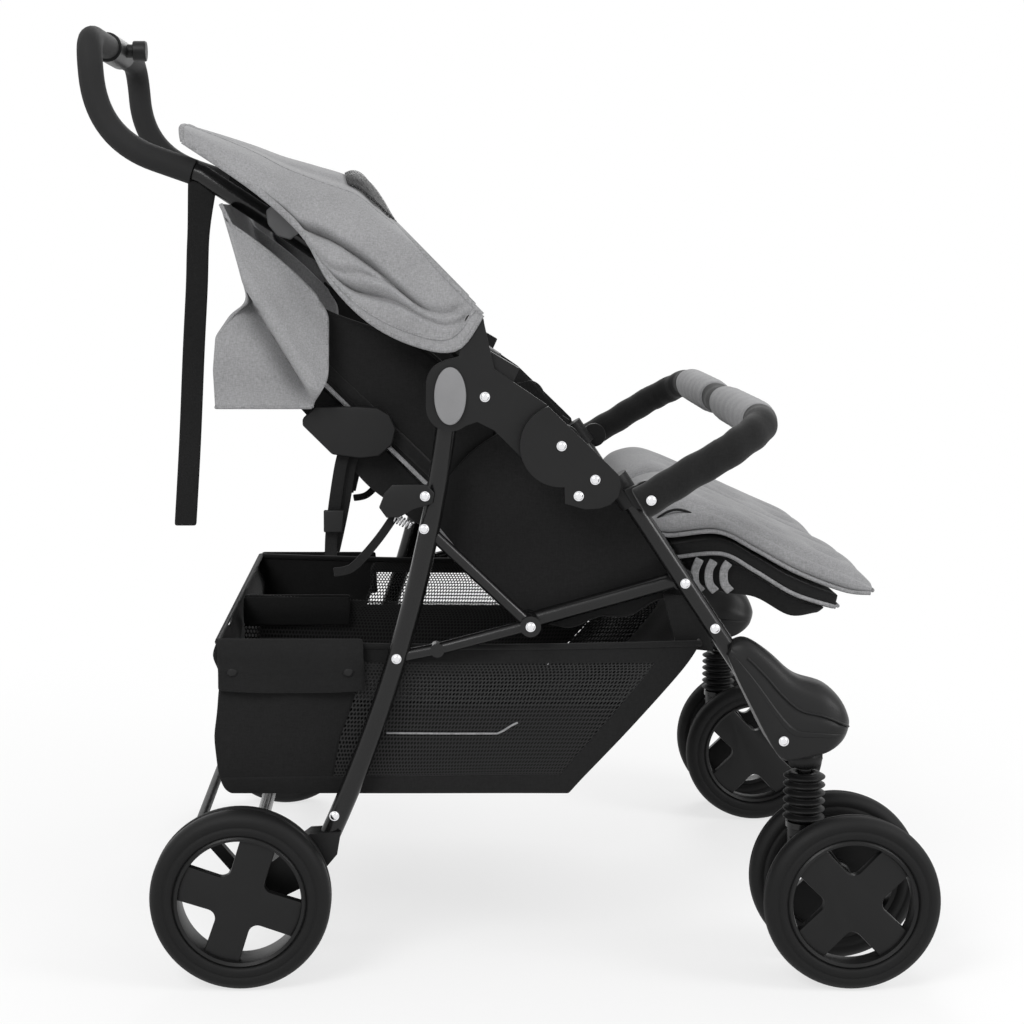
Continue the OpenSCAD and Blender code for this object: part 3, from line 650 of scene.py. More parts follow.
def curtain_point(v, h):
    v = 0.5 * v if v < 0.5 else 0.25 + 1.5 * (v - 0.5)
    beside = v < 0.25 or v > 0.75
    reach = v / 0.25 if v < 0.25 else (1 - v) / 0.25
    if beside:
        z = blend_of(CURTAIN_LOW, blend_of(722, 800, reach), h)
        corner = (16 * (1 - smooth_step(CURTAIN_LOW, CURTAIN_LOW + 46, z)) ** 2
                  + 12 * smooth_step(690, 724, z) ** 2)
        x = blend_of(-183 - corner, look_up(CURTAIN_BACK, z) + 1.5, reach)
        past = x - (-296.8 + (778.8 - z) * 0.609)
        fold = 17 * math.exp(-((past - 9) / 15) ** 2) - 12 * smooth_step(20, 66, past)
        swell = math.sin(math.pi * min(max((z - 600) / 112, 0.0), 1.0))
        bag = -20 * math.exp(-(past / 15) ** 2) + 6 * swell - 5
        step = smooth_step(-2.0, 2.0, past)
        y = CURTAIN_OUT - 2 + blend_of(bag, fold, step) * smooth_step(CURTAIN_LOW - 4, CURTAIN_LOW + 26, z)
        return mm(x, min(y, 304) if v < 0.5 else CURTAIN_IN, z)
    z = blend_of(CURTAIN_LOW, 818, h)
    fold = 4.5 * math.sin(2 * math.pi * 3.5 * v) * math.sin(2 * math.pi * (v - 0.25))
    return mm(look_up(CURTAIN_BACK, z) + 1.5 + fold, blend_of(CURTAIN_OUT - 2, CURTAIN_IN, (v - 0.25) / 0.5), z)


for hand in PAIRS:
    cloth_sheet(f"curtain_{hand}", 128, 64, on_side(curtain_point, hand), grey_cloth, "handle_frame", "fabric_grey",
                2.4, replaces=("rear_curtains",) if hand == "left" else ())
    edges = [line_on(lambda t: curtain_point(t, 0.0), hand, 60), line_on(lambda t: curtain_point(0.0, t), hand, 30),
             line_on(lambda t: curtain_point(0.5 * t, 1.0), hand, 20)]
    piping(f"curtain_piping_{hand}", edges, 2.2, grey_binding, "handle_frame", "fabric_grey")
    seam = line_on(lambda t: curtain_point(t, 0.055), hand, 60)
    piping(f"curtain_hem_seam_{hand}", [seam], 1.0, grey_binding, "handle_frame", "fabric_grey")
print("curtains done")

# %% [markdown]
# The leg rests. A quilted grey pad curves from the seat's front edge down over the feet. Stitched dimples
# pull its top in, and grey piping closes its lower edge. Dimples could be bump in the material, but they
# show in the pad's outline, so the points of the pad itself are pushed in.

# %% Leg rest pads
LEG_TOP = [(152, 488), (168, 506), (205, 511), (262, 488), (326, 458), (384, 432), (404, 412)]
LEG_LOW = [(154, 478), (180, 458), (239, 461.5), (276, 443.5), (318, 419.5), (368, 401), (398, 401)]
PAD_IN = 12
PAD_OUT = 262
TUFTS = [(u, v) for u in (0.40, 0.58, 0.76, 0.91) for v in (0.2, 0.5, 0.8)]


def crowned(u, v, w, top, low, dip, spots, edge=0.22):
    upper, lower = loft(top, low, u)
    middle = (upper + lower) / 2
    crown = (1 - abs(2 * v - 1) ** 4) ** 0.5
    full = edge + (1 - edge) * crown
    dent = 0.0
    for spot_u, spot_v in spots:
        dent = max(dent, math.exp(-((u - spot_u) / 0.05) ** 2 - ((v - spot_v) / 0.06) ** 2))
    reach = (w - 0.5) * 2
    half = (upper - middle) if reach > 0 else (lower - middle)
    at = middle + half * abs(reach) * (full if reach > 0 else 0.6 + 0.4 * crown)
    if reach > 0:
        at -= half.normalized() * dip * dent * reach
    round_in = 7 * (abs(reach) ** 4) * (abs(2 * v - 1) ** 6)
    pinch = 5 * abs(2 * u - 1) ** 6 + round_in
    return mm(at.x, blend_of(PAD_IN + pinch, PAD_OUT - pinch, v), at.y)


def pad_edges(hand, top, low, share, inset, nose):
    """The two side edges of a pad, at a share of its height, and its front edge at nose, as (x, z)."""
    def side(y, t):
        upper, lower = loft(top, low, t)
        at = blend_of(lower, upper, share)
        return mm(at.x, y, at.y)

    routes = [line_on(lambda t: side(y, t), hand) for y in (PAD_IN + inset, PAD_OUT - inset)]
    return routes + [line_on(lambda t: mm(nose[0], blend_of(PAD_IN + 8, PAD_OUT - 8, t), nose[1]), hand, 30)]


def quilt_point(u, v, w):
    return crowned(u, v, w, LEG_TOP, LEG_LOW, 9.0, TUFTS)


for hand in PAIRS:
    body = f"legrest_{hand}"
    pad_form(f"legrest_quilt_{hand}", 38, on_side(quilt_point, hand), grey_cloth, body, "fabric_grey",
             replaces=(f"legrest_pad_{hand}",))
    piping(f"legrest_piping_{hand}", pad_edges(hand, LEG_TOP, LEG_LOW, 0.16, 4, (402, 405)), 2.4, grey_binding, body,
           "fabric_grey")
print("leg rest pads done")

# %% [markdown]
# Under each leg rest lies a thin black layer with its own line of piping, then a slack pocket, and two eyes
# that turn on the crossbar. The layer could be a solidified sheet, but its edges are thick and rounded, so it
# is a divided cube lofted between an upper and a lower edge, as the pad above it is.

# %% Leg rest boards
BOARD_TOP = [(186, 455), (239, 460), (275, 442), (317, 418), (366, 399)]
BOARD_LOW = [(192, 438), (239, 441), (275, 422), (317, 397), (361, 384)]
UNDER_TOP = [(198, 437), (239, 440), (275, 421), (317, 396), (352, 385)]
UNDER_LOW = [(206, 408), (236, 404), (272, 396), (314, 378), (346, 377)]
EYE_RADIUS = 0.013
ACROSS = Matrix.Rotation(math.pi / 2, 4, "X")  # turns a piece made along Z to lie along Y


def board_point(u, v, w):
    upper, lower = loft(BOARD_TOP, BOARD_LOW, u)
    at = blend_of(lower, upper, w)
    round_in = 4 * abs(2 * w - 1) ** 3 * abs(2 * v - 1) ** 8
    return mm(at.x, blend_of(PAD_IN + 6 + round_in, PAD_OUT - 6 - round_in, v), at.y)


for hand in PAIRS:
    body = f"legrest_{hand}"
    pad_form(f"legrest_base_{hand}", 24, on_side(board_point, hand), black_cloth, body, "fabric_black",
             replaces=(f"legrest_board_{hand}",))
    piping(f"legrest_base_piping_{hand}", pad_edges(hand, BOARD_TOP, BOARD_LOW, 0.22, 5, (365, 388)), 2.2,
           grey_binding, body, "fabric_grey")
    eyes = bmesh.new()
    for middle_y in (57, 217):
        ring = bmesh.ops.create_cone(eyes, segments=32, radius1=EYE_RADIUS, radius2=EYE_RADIUS, depth=0.030,
                                     cap_ends=True)
        place = Matrix.Translation(flip(mm(181.0, middle_y, 440.0), hand)) @ ACROSS
        bmesh.ops.transform(eyes, matrix=place, verts=ring["verts"])
    round_edges(eyes, sharp_edges(eyes, 1.0), 0.002, 2)
    put(f"legrest_eyes_{hand}", eyes, cover_plastic, body, "moulded_dark")


def under_point(u, v, w):
    upper, lower = loft(UNDER_TOP, UNDER_LOW, u)
    at = blend_of(lower, upper, w)
    round_in = 5 * (1 - w) ** 2 + 3 * abs(2 * u - 1) ** 6
    ripple = 2.2 * math.sin(15 * u + 6 * v) * (1 - w)
    return mm(at.x, blend_of(PAD_IN + 9 + round_in, PAD_OUT - 9 - round_in, v), at.y + ripple)


for hand in PAIRS:
    pad_form(f"legrest_under_{hand}", 18, on_side(under_point, hand), black_cloth, f"legrest_{hand}", "fabric_black")
print("leg rest boards done")

# %% [markdown]
# The seats. Each backrest is one long black pad on its recline frame, stitched across twice, and each seat
# pad is a short thick cushion. Both are crowned across their width by the leg rest's helper, since they are
# the same kind of pad at another slope. Grey binding edges the backrest's sides, as a thin pale line down to
# the frame's lower joint.

# %% Backrest and seat pads
RECLINE_AT = (50.24, 381.46)
RECLINE_SLOPE = math.radians(135.3)
SEAT_TOP = [(74, 418), (84, 434), (104, 441), (126, 445), (138, 445), (143, 436)]
SEAT_LOW = [(75, 410), (84, 402), (104, 404), (126, 411), (138, 416), (143, 424)]


def on_back(s, t):
    return (RECLINE_AT[0] + s * math.cos(RECLINE_SLOPE) + t * math.sin(RECLINE_SLOPE),
            RECLINE_AT[1] + s * math.sin(RECLINE_SLOPE) - t * math.cos(RECLINE_SLOPE))


BACK_TOP = [on_back(*p) for p in ((62, 12), (80, 36), (160, 42), (260, 42), (360, 40), (415, 32), (424, 16))]
BACK_LOW = [on_back(*p) for p in ((62, 9), (80, 6.8), (160, 6.8), (260, 6.8), (360, 6.8), (413, 7.8), (424, 12))]
BACK_STITCH = [(u, v / 10) for u in (0.34, 0.62) for v in range(1, 10)]


def backrest_point(u, v, w):
    return crowned(u, v, w, BACK_TOP, BACK_LOW, 5.0, BACK_STITCH, 0.3)


def seat_point(u, v, w):
    return crowned(u, v, w, SEAT_TOP, SEAT_LOW, 0.0, [], 0.3)


def back_edge(y, t):
    at = on_back(30 + 392 * t, 9)
    return mm(at[0], y, at[1])


for hand in PAIRS:
    body = f"backrest_{hand}"
    pad_form(f"backrest_quilt_{hand}", 36, on_side(backrest_point, hand), black_cloth, body, "fabric_black",
             replaces=(f"backrest_pad_{hand}",))
    pad_form(f"seat_cushion_{hand}", 26, on_side(seat_point, hand), black_cloth, "seat_link", "fabric_black",
             replaces=(f"seat_pad_{hand}",))
    sides = [line_on(lambda t: back_edge(y, t), hand, 30) for y in (PAD_IN + 1, PAD_OUT - 1)]
    piping(f"backrest_binding_{hand}", sides, 2.4, grey_binding, body, "fabric_grey")
print("seat pads done")

# %% [markdown]
# The side panels close the seat between the backrest's line and the front leg. They are slack black cloth
# with a wavy lower hem, so the sheet is given a soft sag and a rippled edge rather than a straight cut.

# %% Side panels
PANEL_Y = 264.4
PANEL_LEFT = [(-78, 490), (-50, 455), (-10, 408), (30, 368)]
PANEL_RIGHT = [(62, 594), (112, 538), (173, 446), (197, 405)]


def panel_point(u, v):
    at = blend_of(*loft(PANEL_LEFT, PANEL_RIGHT, v), u)
    top_bow = 22 * math.sin(math.pi * u) * (1 - v) ** 2
    hem_wave = (3.5 * math.sin(17 * u) * smooth_step(0.8, 1.0, v)
                - 9 * math.sin(math.pi * u) * smooth_step(0.7, 1.0, v))
    sag = 1.1 * math.sin(9 * u + 4 * v) * math.sin(math.pi * u) * math.sin(math.pi * v)
    return mm(at.x - top_bow * 0.6, PANEL_Y + sag, at.y + top_bow + hem_wave)


def gusset_point(u, v):
    x = blend_of(blend_of(174, 190, v), blend_of(206, 230, v), u)
    return mm(x, 273 + 1.5 * math.sin(5 * v), blend_of(405, 346, v) - 4 * u)


for hand in PAIRS:
    cloth_sheet(f"side_panel_{hand}", 34, 30, on_side(panel_point, hand), black_cloth, "seat_link", "fabric_black",
                1.6, replaces=("side_panels",) if hand == "left" else ())
    piping(f"side_panel_hem_{hand}", [line_on(lambda t: panel_point(t, 1.0), hand)], 1.6, black_cloth, "seat_link",
           "fabric_black")
    piping(f"side_panel_binding_{hand}", [line_on(lambda t: panel_point(0.0, t), hand, 30)], 1.8, grey_binding,
           "seat_link", "fabric_grey")
    cloth_sheet(f"leg_gusset_{hand}", 8, 14, on_side(gusset_point, hand), black_cloth, "front_frame", "fabric_black",
                1.6)
print("side panels done")

# %% [markdown]
# The basket is mesh with cloth hems. Every wall is a slack sheet between the hems, and the mesh's holes are
# cut by its material, so the far walls and the studio show through. Holes cut in the geometry would be far
# too many faces. Cloth bands close the rear corners, and strips of the same surface make the hems.

# %% Basket walls
BASKET_Y = 284.6
BASKET_REAR = [(-290, 190), (-298, 204), (-301, 265), (-303, 328), (-301, 355)]
BASKET_FRONT = [(74, 190), (90, 208), (140, 262), (194, 324), (213, 353)]
BASKET_LUMPS = [(190, 2), (212, -2), (256, -5), (270, -1), (305, 3), (319, 6), (339, -4), (356, 0)]


def basket_side(u, v):
    rear, front = loft(BASKET_REAR, BASKET_FRONT, v)
    rear.x += look_up(BASKET_LUMPS, rear.y)
    at = blend_of(rear, front, u)
    slack = math.sin(math.pi * v) * (2.2 * math.sin(11 * u + 2) + 1.6 * math.sin(5 * u + 6 * v))
    return mm(at.x, BASKET_Y - 2.4 + 0.6 * slack, at.y - 5 * math.sin(math.pi * u) * v ** 3)


def part_of(place, u0, u1, v0, v1, out):
    return lambda u, v: place(blend_of(u0, u1, u), blend_of(v0, v1, v)) + Vector((0, out * 0.001, 0))


BASKET_STRIPS = {  # the part of the side that each strip covers, how far out it lies, and its columns and rows
    "mesh": (0.30, 0.985, 0.06, 0.93, 0.0, 40, 24),
    "rear": (0.0, 0.31, 0.03, 0.96, 0.3, 20, 24),
    "rim": (0.0, 1.0, 0.80, 1.0, 0.7, 60, 6),
    "base": (0.0, 1.0, 0.0, 0.27, 0.7, 60, 6),
    "front": (0.93, 1.0, 0.0, 1.0, 0.8, 8, 30),
}
for hand in PAIRS:
    for strip, (*share, columns, rows) in BASKET_STRIPS.items():
        finish, slot = (hex_mesh, "mesh_black") if strip == "mesh" else (black_cloth, "fabric_black")
        cloth_sheet(f"basket_{strip}_{hand}", columns, rows, on_side(part_of(basket_side, *share), hand), finish,
                    "front_frame", slot, 1.0, replaces=("basket",) if (strip, hand) == ("mesh", "left") else ())


def basket_across(edge):
    def place(u, v):
        at = Vector(track(edge, v))
        y = blend_of(-BASKET_Y + 3, BASKET_Y - 3, u)
        slack = 3.0 * math.sin(9 * u) * math.sin(math.pi * v)
        if edge is BASKET_REAR:
            slack += look_up(BASKET_LUMPS, at.y)
        return mm(at.x + slack, y, at.y - (6 * abs(math.sin(2 * math.pi * u)) + 3 * math.sin(31 * u)) * v ** 3)
    return place


def basket_floor(u, v):
    sag = 2.0 * math.sin(math.pi * u) * abs(math.sin(2 * math.pi * v))
    return mm(blend_of(-290, 75, u), blend_of(-BASKET_Y + 3, BASKET_Y - 3, v), 191.2 - sag * 0.4)


def basket_divider(u, v):
    at = blend_of(*loft(BASKET_REAR, BASKET_FRONT, v), blend_of(0.01, 0.99, u))
    return mm(at.x, 1.5 * math.sin(8 * u) * math.sin(math.pi * v), at.y - 10 * math.sin(math.pi * u) * v ** 3)


for wall, columns, rows, place, thick in (("rear_wall", 50, 20, basket_across(BASKET_REAR), 1.2),
                                          ("front_wall", 50, 20, basket_across(BASKET_FRONT), 1.2),
                                          ("floor_cloth", 30, 40, basket_floor, 1.4)):
    cloth_sheet(f"basket_{wall}", columns, rows, place, black_cloth, "front_frame", "fabric_black", thick)
cloth_sheet("basket_divider", 40, 20, basket_divider, hex_mesh, "front_frame", "mesh_black", 1.0)
rim_route = line_on(lambda t: basket_side(t, 1.0), "left", 60)
rim_route += mirrored(rim_route[::-1])
piping("basket_rim_cord", [rim_route + rim_route[:1]], 3.4, black_webbing, "front_frame", "fabric_black")
print("basket done")

# %% [markdown]
# A flap is folded over the basket's rim on each side and held by two domed snaps. It could be part of the
# wall, but it stands off it and throws a shadow, so it is a sheet of its own.


# %% Basket flaps and snaps
def flap_point(u, v):
    over = 13 * math.sin(math.pi * min(v * 1.6, 1.0)) * 0.5
    x = blend_of(-300, -146, u) + 4 * math.sin(7 * u) * v
    return mm(x, BASKET_Y + 3.0 + over + 2 * math.sin(9 * u) * v, 359 - 56 * v - 3 * math.sin(math.pi * u) * v)


def dome_studs(name, places, radius, height, finish, body, slot):
    """Domed heads that stand out along Y."""
    bm = bmesh.new()
    for x, y, z in places:
        made = bmesh.ops.create_uvsphere(bm, u_segments=20, v_segments=10, radius=radius * 0.001)
        shape = Matrix.Translation(mm(x, y, z)) @ Matrix.Diagonal((1, height / radius, 1, 1))
        bmesh.ops.transform(bm, matrix=shape, verts=made["verts"])
    return put(name, bm, finish, body, slot)


snaps = []
for hand in PAIRS:
    cloth_sheet(f"basket_flap_{hand}", 24, 14, on_side(flap_point, hand), black_cloth, "front_frame", "fabric_black",
                1.8)
    for u in (0.09, 0.9):
        at = flip(flap_point(u, 0.62), hand)
        snaps.append((at.x * 1000, at.y * 1000 + hand_sign(hand) * 1.0, at.z * 1000))
dome_studs("basket_snaps", snaps, 5.5, 2.4, cover_plastic, "front_frame", "moulded_dark")
print("basket flaps done")

# %% [markdown]
# The bumper bar is a steel U in a padded black sleeve, with two grey covers closed round its crossbar. The
# sleeve is a tube of cloth with faint cross wrinkles; the covers have stitched edges that pull in. A beveled
# curve has one radius all along, so a grid is wrapped round the route and its radius varies.


# %% Bumper sleeve and covers
BUMPER_AT = (151, 516)
BUMPER_SLOPE = math.radians(31)
BUMPER_REACH = 144
BUMPER_Y = 336.3
BUMPER_BEND = 60


def bumper_place(along, y):
    return mm(BUMPER_AT[0] + along * math.cos(BUMPER_SLOPE), y, BUMPER_AT[1] + along * math.sin(BUMPER_SLOPE))


def bumper_route():
    straight = BUMPER_REACH - BUMPER_BEND
    points = [bumper_place(blend_of(-12.4, straight, i / 10), BUMPER_Y) for i in range(11)]
    for i in range(1, 13):
        turn = math.pi / 2 * i / 12
        points.append(bumper_place(straight + BUMPER_BEND * math.sin(turn),
                                   BUMPER_Y - BUMPER_BEND * (1 - math.cos(turn))))
    half = BUMPER_Y - BUMPER_BEND
    points += [bumper_place(BUMPER_REACH, half * (1 - i / 20)) for i in range(1, 21)]
    return points + mirrored(points[-2::-1])


def tube_form(name, route, around, radius_at, finish, body, slot, replaces=()):
    """A closed tube along a route: a grid wrapped round it, its seam merged and its ends filled."""
    bm = bmesh.new()
    count = len(route) - 1
    bmesh.ops.create_grid(bm, x_segments=around, y_segments=count, size=0.5)
    low = min(v.co.x for v in bm.verts)
    span = max(v.co.x for v in bm.verts) - low
    for v in bm.verts:
        i = round((v.co.y - low) / span * count)
        turn = 2 * math.pi * (v.co.x - low) / span
        ahead = (route[min(i + 1, count)] - route[max(i - 1, 0)]).normalized()
        first = ahead.cross(Vector((1, 0, 0.35))).normalized()
        second = ahead.cross(first)
        reach = radius_at(i / count, turn) * 0.001
        v.co = route[i] + first * (reach * math.cos(turn)) + second * (reach * math.sin(turn))
    bmesh.ops.remove_doubles(bm, verts=bm.verts[:], dist=1e-5)
    bmesh.ops.holes_fill(bm, edges=[e for e in bm.edges if e.is_boundary], sides=0)
    bmesh.ops.recalc_face_normals(bm, faces=bm.faces[:])
    piece = put(name, bm, finish, body, slot, replaces)
    soften(piece)
    return piece


def denser(route, times):
    result = []
    for a, b in zip(route, route[1:]):
        result += [a.lerp(b, k / times) for k in range(times)]
    return result + [route[-1]]


sleeve_route = denser(bumper_route(), 3)
tube_form("bumper_sleeve", sleeve_route, 32,
          lambda t, a: 17.4 + 0.5 * math.sin(150 * t + 2 * math.sin(a)) + 0.35 * math.sin(61 * t + a), wrap_cloth,
          "bumper", "wrap_black", replaces=("bumper_bar",))
for hand in PAIRS:
    cover_route = line_on(lambda t: bumper_place(BUMPER_REACH, blend_of(36.5, 269.5, t)), hand, 46)
    tube_form(f"bumper_cover_{hand}", cover_route, 32,
              lambda t, a: 18.6 + 2.2 * min(1.0, 7 * min(t, 1 - t)) ** 0.5 + 0.4 * math.sin(44 * t)
              + 0.3 * math.sin(3 * a), grey_cloth, "bumper", "fabric_grey",
              replaces=("bumper_bands",) if hand == "left" else ())
print("bumper done")

# %% [markdown]
# Round parts that the solids only facet get a smooth stand-in: the push handle's tube and its foam grips
# follow the same bends with many more steps. Subdividing the solids would round their ends too, so both are
# curves with a round bevel. The carry strap hangs beside them as a narrow sheet.

# %% Handle tube and grips
HANDLE_START = (-8, 286, 650)
GRIP_START = (-322, 190, 851)
GRIP_BEND = (-437, 182, 891)
HANDLE_CORNER = (-446, 186, 1002)
GRIP_END_Y = 52


def round_corner(a, b, c, reach, steps=18):
    start = b + (a - b).normalized() * reach
    stop = b + (c - b).normalized() * reach
    shares = [i / steps for i in range(steps + 1)]
    return [start * (1 - t) ** 2 + b * (2 * t * (1 - t)) + stop * t ** 2 for t in shares]


def grip_route():
    start, bend, top = mm(*GRIP_START), mm(*GRIP_BEND), mm(*HANDLE_CORNER)
    across = flip(top, "right")
    return ([start] + round_corner(start, bend, top, 0.068) + round_corner(bend, top, across, 0.042)
            + [Vector((top.x, GRIP_END_Y * 0.001, top.z))])


left_grip = grip_route()
tube_start = mm(*HANDLE_START)
tube_route = [tube_start] + left_grip + mirrored(left_grip[::-1]) + [flip(tube_start, "right")]
piping("handle_bar", [tube_route], 11.0, tube_paint, "handle_frame", "tube_black", replaces=("handle_tube",),
       sides=8)
foam_left = [left_grip[0] + (left_grip[1] - left_grip[0]).normalized() * 0.010] + left_grip[1:]
piping("handle_foam", [foam_left, mirrored(foam_left)], 14.0, grip_foam, "handle_frame", "foam_dark",
       replaces=("handle_grips",), sides=8)
STRAP_PLACES = [(-322, 841), (-327, 780), (-329, 730), (-333, 660), (-338, 560), (-344, 467)]
STRAP_WIDE = 24
STRAP_Y = -195.5


def strap_point(u, v):
    at = track(STRAP_PLACES, v)
    flare = 1 + 0.25 * (1 - smooth_step(0.0, 0.2, v))
    slant = 11 * (1 - smooth_step(0.0, 0.15, v))
    return mm(at[0] + (u - 0.5) * STRAP_WIDE * flare, STRAP_Y + 1.2 * math.sin(5 * v), at[1] - (u - 0.5) * slant)


cloth_sheet("carry_webbing", 6, 60, strap_point, black_webbing, "handle_frame", "webbing_black", 1.8,
            replaces=("carry_strap",))
print("handle done")

# %% [markdown]
# The wheels. A tyre is a profile with a rounded tread and two moulded rings, spun round its axle. A rim is
# a spun hoop, and its face is a flat cross whose inner corners are rounded: a cross of twelve corners,
# extruded and then beveled. Openings cut from a disc would leave ragged faces round their corners.


# %% Wheels
REAR_WHEEL = (95, 42, 25, 6)  # radius, width, tyre height and bore
FRONT_WHEEL = (92.5, 28, 24, 4)
REAR_AXLE_X, REAR_Y, REAR_TURN = -273, 339, 18  # the turn of a wheel's spokes is in degrees
FRONT_AXLE_X, CASTER_Y, TWIN_SHIFT, FRONT_TURN = 366, 301, 45, 45
SPOKE_HALF = 18.5


def spun(bm, profile, matrix, steps=96):
    """Turns a closed profile of (radius, offset) pairs, in millimetres, about local Z."""
    corners = [bm.verts.new((r * 0.001, 0, h * 0.001)) for r, h in profile]
    edges = [bm.edges.new((a, b)) for a, b in zip(corners, corners[1:] + corners[:1])]
    bmesh.ops.spin(bm, geom=corners + edges, cent=(0, 0, 0), axis=(0, 0, 1), angle=2 * math.pi, steps=steps,
                   use_merge=True)
    ring = {v for e in bm.edges for v in e.verts if v.tag is False}
    for v in ring:
        v.tag = True
    bmesh.ops.transform(bm, matrix=matrix, verts=list(ring))


def corners_in(made):
    """The vertices among what an extrusion made."""
    return [part for part in made["geom"] if isinstance(part, bmesh.types.BMVert)]


def tyre_profile(r, w, t):
    h = w / 2
    return [(r - t, h - 2.5), (r - t + 3, h - 0.5), (r - t + 8, h), (r - t + 9, h - 1.1), (r - t + 11, h - 1.1),
            (r - t + 12, h - 0.2), (r - 7, h - 1.6), (r - 3, h - 4.5), (r - 0.9, h - 8), (r, h - 12.5), (r, 1.4),
            (r - 1.6, 0.9), (r - 1.6, -0.9), (r, -1.4), (r, 12.5 - h), (r - 0.9, 8 - h), (r - 3, 4.5 - h),
            (r - 7, 1.6 - h), (r - t + 12, 0.2 - h), (r - t + 11, 1.1 - h), (r - t + 9, 1.1 - h), (r - t + 8, -h),
            (r - t + 3, 0.5 - h), (r - t, 2.5 - h)]


def wheel_pieces(tag, body, r, w, t, bore, turn, matrix, tyre_node, rim_node):
    tyre_mesh = bmesh.new()
    spun(tyre_mesh, tyre_profile(r, w, t), matrix)
    bmesh.ops.recalc_face_normals(tyre_mesh, faces=tyre_mesh.faces[:])
    put(f"tyre_{tag}", tyre_mesh, tyre_rubber, body, "tyre_dark", replaces=(tyre_node,))

    rim_mesh = bmesh.new()
    hoop = r - t - 0.1
    spun(rim_mesh, [(hoop, w / 2 - 3), (hoop - 2, w / 2 - 1.4), (hoop - 5, w / 2 - 3), (hoop - 6, w / 2 - 8),
                    (hoop - 6, 8 - w / 2), (hoop - 5, 3 - w / 2), (hoop, 3 - w / 2)], matrix)
    spun(rim_mesh, [(bore + 0.2, w / 2 - 9), (17, w / 2 - 9), (17, 2.5 - w / 2), (15, 0.6 - w / 2),
                    (bore + 0.2, 0.6 - w / 2)], matrix, 48)
    half, tip = SPOKE_HALF, hoop - 2
    outline = []
    for quarter in range(4):
        angle = math.radians(turn + 90 * quarter)
        for along, across in ((half, -half), (tip, -half * 1.04), (tip, half * 1.04)):
            outline.append((along * math.cos(angle) - across * math.sin(angle),
                            along * math.sin(angle) + across * math.cos(angle)))
    cross = bmesh.new()
    corners = [cross.verts.new((x * 0.001, y * 0.001, (w / 2 - 15) * 0.001)) for x, y in outline]
    plate = cross.faces.new(corners)
    raised = bmesh.ops.extrude_face_region(cross, geom=[plate])
    bmesh.ops.translate(cross, vec=(0, 0, 0.009), verts=corners_in(raised))
    bmesh.ops.recalc_face_normals(cross, faces=cross.faces[:])
    for low, high, radius in ((0.0, 0.035, 0.010), (0.045, 1.0, 0.007)):
        upright = [e for e in cross.edges if abs(e.verts[0].co.z - e.verts[1].co.z) > 0.001]
        round_edges(cross, [e for e in upright if low < Vector(e.verts[0].co[:2]).length < high], radius, 6)
    top = [e for e in cross.edges if all(abs(v.co.z - (w / 2 - 6) * 0.001) < 1e-5 for v in e.verts)]
    round_edges(cross, top, 0.0016, 2)
    bmesh.ops.transform(cross, matrix=matrix, verts=cross.verts[:])
    cross_data = bpy.data.meshes.new("cross")
    cross.to_mesh(cross_data)
    cross.free()
    rim_mesh.from_mesh(cross_data)
    bmesh.ops.recalc_face_normals(rim_mesh, faces=rim_mesh.faces[:])
    rim = put(f"rim_{tag}", rim_mesh, wheel_plastic, body, "moulded_dark", replaces=(rim_node,))
    rim.data.set_sharp_from_angle(angle=math.radians(35))


def wheel_matrix(x, y, z, outward):
    return Matrix.Translation(mm(x, y, z)) @ Matrix.Rotation(-outward * math.pi / 2, 4, "X")


for hand in PAIRS:
    sign = hand_sign(hand)
    wheel_pieces(f"rear_{hand}", f"rear_wheel_{hand}", *REAR_WHEEL, REAR_TURN * sign,
                 wheel_matrix(REAR_AXLE_X, sign * REAR_Y, REAR_WHEEL[0], sign), f"rear_tyre_{hand}",
                 f"rear_rim_{hand}")
    for twin, shift, face in (("outer", TWIN_SHIFT, sign), ("inner", -TWIN_SHIFT, -sign)):
        wheel_pieces(f"front_{hand}_{twin}", f"front_wheel_{hand}_{twin}", *FRONT_WHEEL, FRONT_TURN,
                     wheel_matrix(FRONT_AXLE_X, sign * (CASTER_Y + shift), FRONT_WHEEL[0], face),
                     f"front_tyre_{hand}_{twin}", f"front_rim_{hand}_{twin}")
print("wheels done")

# %% [markdown]
# Moulded parts. The solids have sharp edges, but the real mouldings are rounded and catch a thin line of
# light. They could be modelled again, but the solids already have the right outline, so a copy of each is
# merged, its flat faces are joined, and a Bevel modifier rounds the edges that are left.


# %% Rounded mouldings
def eased(node, body, width):
    bm = bmesh.new()
    bm.from_mesh(nodes[node].data)
    bmesh.ops.remove_doubles(bm, verts=bm.verts[:], dist=2e-5)
    bmesh.ops.dissolve_limit(bm, angle_limit=math.radians(1.5), verts=bm.verts[:], edges=bm.edges[:])
    bmesh.ops.recalc_face_normals(bm, faces=bm.faces[:])
    piece = put(f"{node}_eased", bm, cover_plastic, body, "moulded_dark", replaces=(node,))
    rounding = piece.modifiers.new("rounding", "BEVEL")
    rounding.width = width * 0.001
    rounding.segments = 3
    rounding.limit_method = "ANGLE"
    rounding.angle_limit = math.radians(38)
    rounding.use_clamp_overlap = True
    piece.modifiers.new("flat_faces", "WEIGHTED_NORMAL").keep_sharp = True


for hand in PAIRS:
    eased(f"knuckle_{hand}", "handle_frame", 2.2)
    eased(f"front_lobe_{hand}", "front_frame", 2.6)
    eased(f"caster_yoke_{hand}", f"caster_{hand}", 2.0)
for node, body, width in (("rear_carriers", "rear_frame", 2.4), ("bumper_sockets", "front_frame", 1.2),
                          ("handle_hub", "handle_frame", 1.6), ("fold_button", "release_button", 1.6)):
    eased(node, body, width)
print("mouldings rounded")

